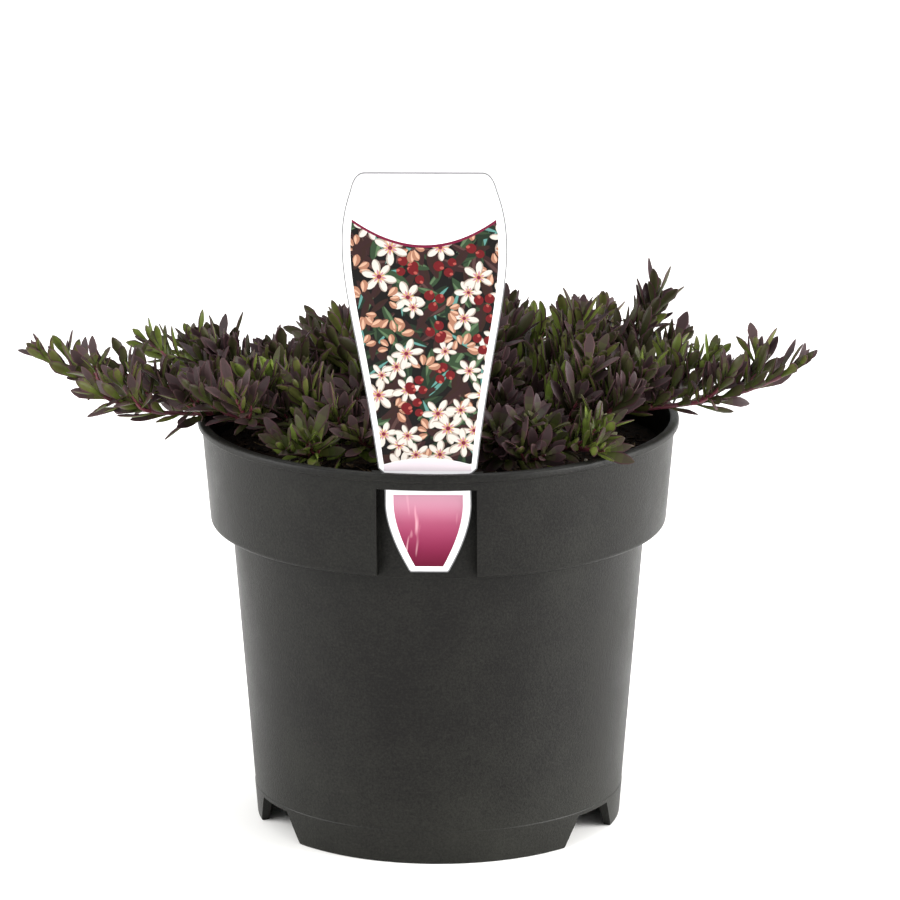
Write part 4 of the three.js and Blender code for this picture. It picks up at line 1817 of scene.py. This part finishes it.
@dataclass
class Room:
    """Where growth may be: clear of the pot, the mix, the label and other growth."""

    pot: Pot
    mix: GrowingMix
    label: PlantLabel
    cell: float = 4.0
    mix_gap: float = 0.8
    mix_edge: float = 3.5
    wall_inside: float = 4.5
    wall_outside: float = 0.4
    lip_gap: float = 0.2
    label_side: float = 1.0
    label_foot: float = 6.0
    label_head: float = 2.0
    label_back: float = 0.6
    to_label: Matrix = field(init=False)
    cells: dict = field(default_factory=lambda: defaultdict(list))

    def __post_init__(self) -> None:
        """Find the way from the pot's frame to the label's."""
        self.to_label = self.label.place.inverted()

    def open(self, point: Vector, margin: float) -> bool:
        """Tell whether a point is clear of the pot, the mix and the label.

        Args:
            point: The place.
            margin: The clearance that it needs.

        Returns:
            True if it is.
        """
        out = hypot(point.x, point.y) - self.pot.rim_radius
        rise = point.z - self.pot.height
        if out < -self.mix_edge and point.z < self.mix.crown_height + self.mix_gap + margin:
            return False
        walled = -self.wall_inside - margin < out < self.wall_outside + margin
        if walled and rise < self.lip_gap + margin:
            return False
        if out > 0 and rise < -self.pot.collar_depth:
            return False
        local = self.to_label @ point
        beside = abs(local.x) < self.label.widest_half + self.label_side + margin
        level = -self.label_foot < local.y < self.label.height + self.label_head
        return not (beside and level and local.z > -self.label_back - margin)

    def cell_of(self, point: Vector) -> tuple[int, int, int]:
        """Give the cell that a point is in."""
        return tuple(floor(c / self.cell) for c in point)

    def crowded(self, point: Vector, margin: float, own: int) -> bool:
        """Tell whether other growth is near a point.

        Args:
            point: The place.
            margin: The distance that counts as near, at most one cell.
            own: The stem whose own growth doesn't count.

        Returns:
            True if there is.
        """
        for cell in product(*((c - 1, c, c + 1) for c in self.cell_of(point))):
            for other, owner in self.cells.get(cell, ()):
                if owner != own and (other - point).length < margin:
                    return True
        return False

    def take(self, points: Iterable[Vector], owner: int) -> None:
        """Note growth at some points as an owner's."""
        for point in points:
            self.cells[self.cell_of(point)].append((point, owner))


@dataclass(frozen=True)
class LeafSpot:
    """Where a leaf springs: the share of its stem's length, its turn and its size."""

    share: float
    turn: float
    size: float


@dataclass
class Leaf:
    """One leaf: its place and directions, its length and width in millimetres, and its tone.

    It curls up along its length by its bend, twists, and folds up from its rib, all in radians.
    Its outline wavers near the tip by a share.
    """

    place: Vector
    along: Vector
    across: Vector
    up: Vector
    length: float
    width: float
    bend: float
    twist: float
    fold: float
    waver: float
    tone: int

    @property
    def curl(self) -> float:
        """The bend, kept off nought."""
        return self.bend if abs(self.bend) > LEAST_CURL else LEAST_CURL

    def rib(self, share: float) -> Vector:
        """Give the place on the rib at a share of the length."""
        forward = sin(self.curl * share) * self.length / self.curl
        lift = (1 - cos(self.curl * share)) * self.length / self.curl
        return self.place + self.along * forward + self.up * lift


@dataclass
class LeafCut:
    """A leaf's form: broadest past its middle, folded along its rib, thick and blunt."""

    stations: tuple[float, ...] = (0.0, 0.14, 0.34, 0.54, 0.72, 0.88, 0.96)
    widths: tuple[float, ...] = (0.24, 0.34, 0.62, 0.91, 1.0, 0.64, 0.3)
    wavers: tuple[float, ...] = (0, 0, 0, 1, -1, 0, 0)
    above: tuple[int, ...] = (0, 0, 1, 2, 3, 3, 3)
    below: tuple[int, ...] = (5, 5, 5, 6, 6, 7, 7)
    edge: int = 4
    edge_share: float = 0.8
    thickness: float = 0.7
    sides: int = 8

    def faces(self) -> list[tuple[int, ...]]:
        """Give the faces of one leaf, eight round each step, with a closed foot and tip."""
        rows, n = len(self.stations), self.sides
        rings = [ring_faces(row * n, n) for row in range(rows - 1)]
        faces = [(b, a, d, c) for ring in rings for a, b, c, d in ring]
        last = (rows - 1) * n
        faces += [(last + (i + 1) % n, last + i, rows * n) for i in range(n)]
        faces.append(tuple(range(n)))
        return faces

    def paint(self) -> list[int]:
        """Give which of a tone's colours each face gets, in the order of Tone."""
        paint = []
        for above, below in zip(self.above, self.below):
            rim = self.edge if above else above
            paint += [rim, above, above, rim, rim, below, below, rim]
        paint.append(0)
        return paint

    def places(self, leaf: Leaf) -> np.ndarray:
        """Cut one leaf.

        Args:
            leaf: Its place, directions and sizes.

        Returns:
            The corners in metres, eight round each step and then the tip.
        """
        t = np.array([*self.stations, 1.0])
        angle = leaf.curl * t
        spine = np.stack([np.sin(angle), 0 * t, 1 - np.cos(angle)], axis=1)
        spine = spine * leaf.length / leaf.curl
        half = np.array(self.widths) * leaf.width / 2
        half *= 1 + leaf.waver * np.array(self.wavers)
        thick = self.thickness * (0.5 + 0.5 * np.sin(np.pi * np.clip(t[:-1] * 1.05, 0, 1)))
        rise = half * sin(leaf.fold)
        inner = half * self.edge_share
        inner_rise = rise * self.edge_share
        across = np.stack([-half, -inner, 0 * half, inner, half, inner, 0 * half, -inner])
        lift = np.stack([
            rise, inner_rise + thick * 0.42, thick * 0.3, inner_rise + thick * 0.42,
            rise, inner_rise - thick * 0.4, -thick * 0.62, inner_rise - thick * 0.4])
        twist, tilt = leaf.twist * t[:-1], angle[:-1]
        turned_across = across * np.cos(twist) - lift * np.sin(twist)
        turned_lift = across * np.sin(twist) + lift * np.cos(twist)
        x = spine[:-1, 0] - turned_lift * np.sin(tilt)
        z = spine[:-1, 2] + turned_lift * np.cos(tilt)
        ring = np.stack([x, turned_across, z], axis=2).transpose(1, 0, 2).reshape(-1, 3)
        axes = np.array([leaf.along, leaf.across, leaf.up])
        return (np.vstack([ring, spine[-1:]]) @ axes + np.array(leaf.place)) * MM


@dataclass
class Foliage:
    """The leafy shoots: the solids' stems and twigs, finer twigs between, and the leaves."""

    wood: Wood
    room: Room
    seed: int = 48
    stem_radii: tuple[float, float] = (1.25, 0.75)
    stem_bare_share: float = 0.12
    twig_radii: tuple[float, float] = (0.95, 0.6)
    twig_bare_share: float = 0.24
    twig_length: float = 25.0
    twig_spacing: float = 21.0
    twig_zone: tuple[float, float] = (0.16, 0.66)
    twig_lift: float = 1.5
    twig_clearance: float = 1.2
    twig_probes: tuple[float, ...] = (0.3, 0.6, 0.85, 1.0)
    fine_thickness: float = 0.85
    fine_bare_share: float = 0.3
    fine_length: float = 15.0
    fine_length_shares: tuple[float, float] = (1.1, 0.75)
    fine_spacing: float = 15.0
    fine_end: float = 0.82
    bough_bare_share: float = 0.1
    leaf_length: float = 15.6
    leaf_width: float = 4.25
    leaf_spacing: float = 1.4
    leaf_probes: tuple[float, ...] = (0.45, 0.62, 0.8, 1.0)
    outlying_reach: float = 118.0
    runner_spread: float = 1.5
    angle_low: float = 64.0
    angle_tip: float = 36.0
    golden_angle: float = 137.5
    light_pull: float = 0.34
    underside_turn: float = -0.3
    hanging_share: float = 0.3
    low_tip: float = 181.0
    low_hanging_share: float = 0.8
    low_pull: float = 0.35
    low_place: float = 160.0
    sag: float = 0.5
    clearance: float = 1.1
    open_margin: float = 0.7
    tries: tuple[float, ...] = (0, 25, -25, 60, -60, 180)
    # The first weight is for the painted-shade tone, heavier over the pot than out along the
    # runners.
    inner_weights: tuple[int, ...] = (6, 6, 3, 5, 4, 1, 0, 0)
    outlying_weights: tuple[int, ...] = (4, 5, 2, 5, 6, 4, 1, 0)
    stray_tone_share: float = 0.12
    guard_spacing: float = 3.0
    piece_count: int = 4
    sharp_angle: float = 70.0
    cut: LeafCut = field(default_factory=LeafCut)
    stems: list[Stem] = field(default_factory=list)
    leaves: list[Leaf] = field(default_factory=list)
    pick: random.Random = field(init=False)

    def __post_init__(self) -> None:
        """Start the source of chance from the seed."""
        self.pick = random.Random(self.seed)

    def twig_path(
        self, stem: Path, share: float, hand: int, length: float, chance: Callable[[], float]
    ) -> Path:
        """Give the line of a side twig, which lifts towards the light.

        Args:
            stem: The line that it leaves.
            share: Where on that line.
            hand: 1 or -1 for the side.
            length: Its length before chance changes it.
            chance: The numbers from 0 to 1.

        Returns:
            Its line.
        """
        place, tangent = stem.at(share), stem.tangent(share)
        side = Vector((0, 0, 1)).cross(tangent).normalized() * hand
        leaving = (tangent + side * (0.5 + 0.5 * chance())).normalized()
        length *= (0.8 + 0.4 * chance()) * (1.15 - 0.5 * share)
        arriving = Vector((leaving.x, leaving.y, leaving.z + self.twig_lift)).normalized()
        tip = place + leaving * length * 0.45 + arriving * length * 0.55
        return Path(place, leaving, tip, arriving)

    def grow_stems(self) -> None:
        """Grow the shoots' stems, their twigs as in the solids, and finer twigs between."""
        chance = NumberStream(self.seed)
        paths = self.wood.shoot_paths()
        tones = [self.shoot_tone(path) for path in paths]
        for path, tone in zip(paths, tones):
            self.stems.append(
                Stem(path, *self.stem_radii, self.stem_bare_share, tone, Growth.SHOOT))
        start, run = self.twig_zone
        for path, tone in zip(paths, tones):
            count = max(1, floor(path.length / self.twig_spacing + 0.5) - 1)
            for i in range(count):
                share = start + run * (i + 0.5 * chance()) / count
                twig = self.twig_path(path, share, 1 if i % 2 else -1, self.twig_length, chance)
                self.add_twig(twig, Growth.TWIG, tone + self.pick.choice((-1, 0, 0, 1)))
        for stem in list(self.stems):
            self.grow_fine_twigs(stem)
        for order, plan in enumerate(BOUGHS):
            bough = self.wood.bough_path(order, plan)
            tone = self.pick.randint(0, 3)
            self.grow_fine_twigs(Stem(bough, 0, 0, self.bough_bare_share, tone, Growth.SHOOT))

    def grow_fine_twigs(self, stem: Stem) -> None:
        """Grow finer twigs on a stem, shorter on a twig than on a shoot.

        Args:
            stem: The stem that they leave.
        """
        bare = stem.bare_share
        length = self.fine_length * self.fine_length_shares[stem.kind]
        count = round(stem.path.length * (0.9 - bare) / self.fine_spacing)
        for i in range(count):
            share = bare + (self.fine_end - bare) * (i + self.pick.random()) / count
            hand = -1 if i % 2 else 1
            twig = self.twig_path(stem.path, share, hand, length, self.pick.random)
            self.add_twig(twig, Growth.FINE_TWIG, stem.tone + self.pick.choice((-1, 0, 1)))

    def outlying(self, path: Path) -> bool:
        """Tell whether a stem reaches far out over the rim."""
        tip = path.at(1)
        return hypot(tip.x, tip.y) > self.outlying_reach

    def shoot_tone(self, path: Path) -> int:
        """Choose a shoot's tone: plum over the pot, with the dark painted-shade tone more often
        there, and greener far out along the runners.
        """
        weights = self.outlying_weights if self.outlying(path) else self.inner_weights
        return self.pick.choices(range(len(TONES)), weights)[0]

    def add_twig(self, path: Path, kind: Growth, tone: int) -> None:
        """Keep a twig if it stays in the open.

        Args:
            path: Its line.
            kind: Whether it is a twig or a finer one.
            tone: Its leaves' tone, if that isn't too green for a twig.
        """
        if all(self.room.open(path.at(share), self.twig_clearance) for share in self.twig_probes):
            fine = kind is Growth.FINE_TWIG
            foot, tip = (r * (self.fine_thickness if fine else 1) for r in self.twig_radii)
            bare_share = self.fine_bare_share if fine else self.twig_bare_share
            tone = min(max(tone, 0), TONES.index(Tone.MOSS))
            self.stems.append(Stem(path, foot, tip, bare_share, tone, kind))

    def spots(self, stem: Stem) -> list[LeafSpot]:
        """Give the leaves' places on a stem in one spiral, closer towards the tip.

        Args:
            stem: The stem.

        Returns:
            The places, from its foot to its tip.
        """
        run = stem.path.length * (1 - stem.bare_share)
        spacing = self.leaf_spacing * (self.runner_spread if self.outlying(stem.path) else 1)
        count = max(5, round(run / spacing))
        turn = self.pick.uniform(0, 360)
        spots = []
        for i in range(count + 1):
            step = i / count
            share = stem.bare_share + (0.99 - stem.bare_share) * (1 - (1 - step) ** 1.15)
            young = 1 - 0.5 * max(0.0, (step - 0.86) / 0.14)
            small = 0.9 if stem.kind is Growth.FINE_TWIG else 1.0
            size = self.pick.uniform(0.8, 1.16) * young * small
            aim = turn + i * self.golden_angle + self.pick.uniform(-14, 14)
            spots.append(LeafSpot(share, aim, size))
        return spots

    def leaf_on(self, stem: Stem, spot: LeafSpot, extra: float) -> Leaf:
        """Shape a leaf.

        Args:
            stem: The stem that bears it.
            spot: Its place on the stem.
            extra: A turn added to find room, in degrees.

        Returns:
            The leaf.
        """
        pick, share = self.pick, spot.share
        frame = stem.path.frame(min(share, 1.0))
        closing = (self.angle_tip - self.angle_low) * share**2
        spread = radians(self.angle_low + closing + pick.uniform(-7, 7))
        out = frame.around(spot.turn + extra)
        low = stem.path.at(1).z < self.low_tip
        if out.z < 0 and pick.random() > (self.low_hanging_share if low else self.hanging_share):
            out.z *= self.underside_turn
            out.normalize()
        along = frame.tangent * cos(spread) + out * sin(spread)
        along.z += self.light_pull * pick.uniform(0.6, 1.5) * (self.low_pull if low else 1)
        along.z *= self.sag if along.z < 0 else 1
        along.normalize()
        across = along.cross(frame.tangent)
        across = across.normalized() if across.length > 1e-3 else frame.side
        up = across.cross(along)
        tilt = radians(pick.uniform(-16, 16))
        cosine, sine = cos(tilt), sin(tilt)
        across, up = across * cosine + up * sine, up * cosine - across * sine
        foot = frame.place + out * stem.radius(share) * 0.5
        width = self.leaf_width * (0.35 + 0.65 * spot.size) * pick.uniform(0.88, 1.1)
        return Leaf(
            foot, along, across, up, self.leaf_length * spot.size, width,
            bend=pick.uniform(-0.3, 0.5), twist=pick.uniform(-0.35, 0.35),
            fold=pick.uniform(0.14, 0.46), waver=pick.uniform(-0.08, 0.08),
            tone=self.leaf_tone(stem, share, frame.place.z))

    def leaf_tone(self, stem: Stem, share: float, height: float) -> int:
        """Choose a leaf's tone: its spray's own, greener at the foot and low inside the pot.

        Args:
            stem: The stem that bears it.
            share: Where on the stem.
            height: Its height over the ground.

        Returns:
            The tone's number.
        """
        tone = stem.tone
        if share < 0.45:
            tone += 1
        if share < 0.25 and stem.kind is not Growth.SHOOT:
            tone += 1
        if height < self.low_place:
            tone += self.pick.choice((0, 1, 1, 3))
        if self.pick.random() < self.stray_tone_share:
            tone += self.pick.choice((-1, 1, 2))
        return min(max(tone, 0), len(TONES) - 1)

    def grow_leaves(self) -> None:
        """Grow leaves on all stems, tips first, each where it finds room."""
        self.pick = random.Random(self.seed + 1)
        for number, stem in enumerate(self.stems):
            steps = max(2, round(stem.path.length / self.guard_spacing))
            self.room.take([stem.path.at(i / steps) for i in range(steps + 1)], number)
        queue = [
            (spot.share + self.pick.uniform(-0.3, 0.3) - 0.15 * stem.kind, number, spot)
            for number, stem in enumerate(self.stems)
            for spot in self.spots(stem)]
        queue.sort(key=lambda entry: -entry[0])
        for _, number, spot in queue:
            self.grow_leaf(number, spot)

    def grow_leaf(self, number: int, spot: LeafSpot) -> None:
        """Try a leaf at a few turns, and keep the first that is clear.

        Args:
            number: The number of the stem that bears it.
            spot: Its place on the stem.
        """
        room, stem = self.room, self.stems[number]
        for extra in self.tries:
            leaf = self.leaf_on(stem, spot, extra)
            points = [leaf.rib(share) for share in self.leaf_probes]
            sides = [leaf.rib(0.7) + leaf.across * (leaf.width / 2 * hand) for hand in (-1, 1)]
            if not all(room.open(point, self.open_margin) for point in (*points, *sides)):
                continue
            if any(room.crowded(point, self.clearance, number) for point in points[1:]):
                continue
            if any(room.crowded(point, self.clearance * 0.8, -1) for point in points[2:]):
                continue
            self.leaves.append(leaf)
            room.take([*points, *sides], number)
            return

    def leaf_piece(self, name: str, leaves: Sequence[Leaf]) -> Object:
        """Join some leaves into one piece.

        Args:
            name: The piece's name.
            leaves: The leaves.

        Returns:
            The mesh object.
        """
        corners, faces, paint = [], [], []
        first = 0
        for leaf in leaves:
            corners.append(self.cut.places(leaf))
            tone = TONES[leaf.tone].value
            faces += [tuple(first + i for i in face) for face in self.cut.faces()]
            paint += [LEAF_COLOURS.index(tone[part]) for part in self.cut.paint()]
            first += len(corners[-1])
        finishes = [colour.finish() for colour in LEAF_COLOURS]
        piece = mesh_object(name, np.vstack(corners).tolist(), faces, finishes, paint)
        piece.data.set_sharp_from_angle(angle=radians(self.sharp_angle))
        return piece

    def build(self) -> None:
        """Grow the shoots, make their meshes, and hand them over."""
        self.grow_stems()
        self.grow_leaves()
        log.info("%d stems and twigs, %d leaves", len(self.stems), len(self.leaves))
        shoots = [
            f"shoot_{plan.name}_{i + 1}" for plan in BOUGHS for i in range(len(plan.shoots))]
        shoots += [f"shoot_centre_{i + 1}" for i in range(len(CENTRE_SHOOTS))]
        tubes = TubeTree()
        ripe = [stem for stem in self.stems if stem.kind is Growth.SHOOT]
        fresh = [stem for stem in self.stems if stem.kind is not Growth.SHOOT]
        hand_over(tubes.along("shoot_stems", ripe, 9, STEM_SKIN), shoots)
        hand_over(tubes.along("side_twigs", fresh, 6, TWIG_SKIN), shoots)
        sectors: list[list[Leaf]] = [[] for _ in range(self.piece_count)]
        for leaf in self.leaves:
            turn = atan2(leaf.place.y, leaf.place.x) % tau
            sectors[int(turn / tau * self.piece_count) % self.piece_count].append(leaf)
        for order, sector in enumerate(sectors):
            hand_over(self.leaf_piece(f"leaves_{order + 1}", sector), shoots)


class TubeTree(MeshTree):
    """A tree that gives stems' lines their thickness and closed ends."""

    NAME = "stem_tubes"
    INPUTS = {"Sides": "Int", "Material": "Material"}
    STEP = 2.5
    LEAST_STEPS = 6
    NODE_SHARE = 0.12
    NODE_TURN = 2.4
    TIP_SHARE = 0.35

    def shape(self, given: NodeOutputs) -> NodeSocket:
        """Draw a ring along each line.

        Args:
            given: The tree's inputs.

        Returns:
            The tubes.
        """
        ring = self.add("GeometryNodeCurvePrimitiveCircle", {
            "Resolution": given["Sides"], "Radius": 1.0})
        tubes = self.add("GeometryNodeCurveToMesh", {
            "Curve": given["Geometry"], "Profile Curve": ring,
            "Scale": self.add("GeometryNodeInputRadius"), "Fill Caps": True})
        return self.add("GeometryNodeSetShadeSmooth", {0: tubes})

    def along(self, name: str, stems: Sequence[Stem], sides: int, finish: Finish) -> Object:
        """Make tubes along stems, a little thicker at each leaf's node.

        Args:
            name: The piece's name.
            stems: The stems.
            sides: The number of sides of each tube.
            finish: The tubes' finish.

        Returns:
            The piece.
        """
        curve = bpy.data.curves.new(name, "CURVE")
        curve.dimensions = "3D"
        for stem in stems:
            steps = max(self.LEAST_STEPS, round(stem.path.length / self.STEP))
            line = curve.splines.new("POLY")
            line.points.add(steps)
            for i, point in enumerate(line.points):
                point.co = (*(stem.path.at(i / steps) * MM), 1)
                node = self.NODE_SHARE * stem.tip_radius * sin(i * self.NODE_TURN)
                closing = self.TIP_SHARE if i == steps else 1.0
                point.radius = (stem.radius(i / steps) + node) * closing * MM
        lines = add_object(name + "_lines", curve)
        piece = self.run(name, lines, {"Sides": sides, "Material": finish.material()})
        bpy.data.objects.remove(lines)
        return piece


# --- Studio


@dataclass(frozen=True)
class Softbox:
    """A square softbox: its name, its place and side in metres, and its power in watts."""

    name: str
    place: tuple[float, float, float]
    size: float
    power: float


SOFTBOXES = (
    Softbox("key_softbox", (-1.1, -1.6, 1.9), 1.1, 18.0),
    Softbox("fill_softbox", (1.5, -1.3, 1.2), 1.3, 7.0),
    Softbox("top_softbox", (0.1, 0.5, 2.2), 1.6, 20.0),
    Softbox("side_softbox", (2.2, -0.3, 0.6), 1.6, 135.0),
    Softbox("low_softbox", (-2.2, -0.3, 0.7), 1.6, 62.0),
)


@dataclass
class Studio:
    """A white board under soft lights, seen from the front by a long lens."""

    board_size: float = 9.0
    camera_place: tuple[float, float, float] = (0.1276, -2.515, 0.8126)
    camera_pitch: float = 14.78
    camera_turn: float = 2.8
    focal_length: float = 263.6
    sensor: float = 36.0
    clip: tuple[float, float] = (0.05, 50.0)
    lit_point: tuple[float, float, float] = (0.0, 0.0, 0.12)
    sky: str = "#f4f6f8"
    sky_strength: float = 1.0

    def build(self) -> None:
        """Lay the board, hang the lights and set up the camera."""
        half = self.board_size / 2
        corners = [(-half, -half, 0), (half, -half, 0), (half, half, 0), (-half, half, 0)]
        board = mesh_object("white_board", corners, [(0, 1, 2, 3)], [STUDIO_BOARD])
        self.light_sky()
        for box in SOFTBOXES:
            self.hang(box)
        self.set_camera()
        bpy.context.scene.view_settings.view_transform = "Standard"

    def light_sky(self) -> None:
        """Fill the room with even light."""
        world = bpy.data.worlds.new("white_room")
        world.use_nodes = True
        backdrop = world.node_tree.nodes["Background"]
        backdrop.inputs["Color"].default_value = linear(self.sky)
        backdrop.inputs["Strength"].default_value = self.sky_strength
        bpy.context.scene.world = world

    def hang(self, box: Softbox) -> None:
        """Hang a softbox so that it faces the pot.

        Args:
            box: The softbox.
        """
        lamp = bpy.data.lights.new(box.name, "AREA")
        lamp.size = box.size
        lamp.energy = box.power
        light = add_object(box.name, lamp)
        light.location = box.place
        aim = Vector(self.lit_point) - Vector(box.place)
        light.rotation_euler = aim.to_track_quat("-Z", "Y").to_euler()

    def set_camera(self) -> None:
        """Put the camera where the photograph was taken from."""
        lens = bpy.data.cameras.new("portrait_lens")
        lens.lens = self.focal_length
        lens.sensor_width = self.sensor
        lens.clip_start, lens.clip_end = self.clip
        camera = add_object("portrait_camera", lens)
        camera.location = self.camera_place
        camera.rotation_euler = (
            radians(90 - self.camera_pitch), 0, radians(self.camera_turn))
        bpy.context.scene.camera = camera


def main() -> None:
    """Build the studio and the object."""
    logging.basicConfig(level=logging.INFO, format="%(name)s %(message)s")
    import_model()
    Studio().build()
    pot = Pot()
    pot.build()
    mix = GrowingMix(pot)
    mix.build()
    label = PlantLabel()
    label.build()
    wood = Wood(pot, mix)
    wood.build()
    Foliage(wood, Room(pot, mix, label)).build()


if __name__ == "__main__":
    main()
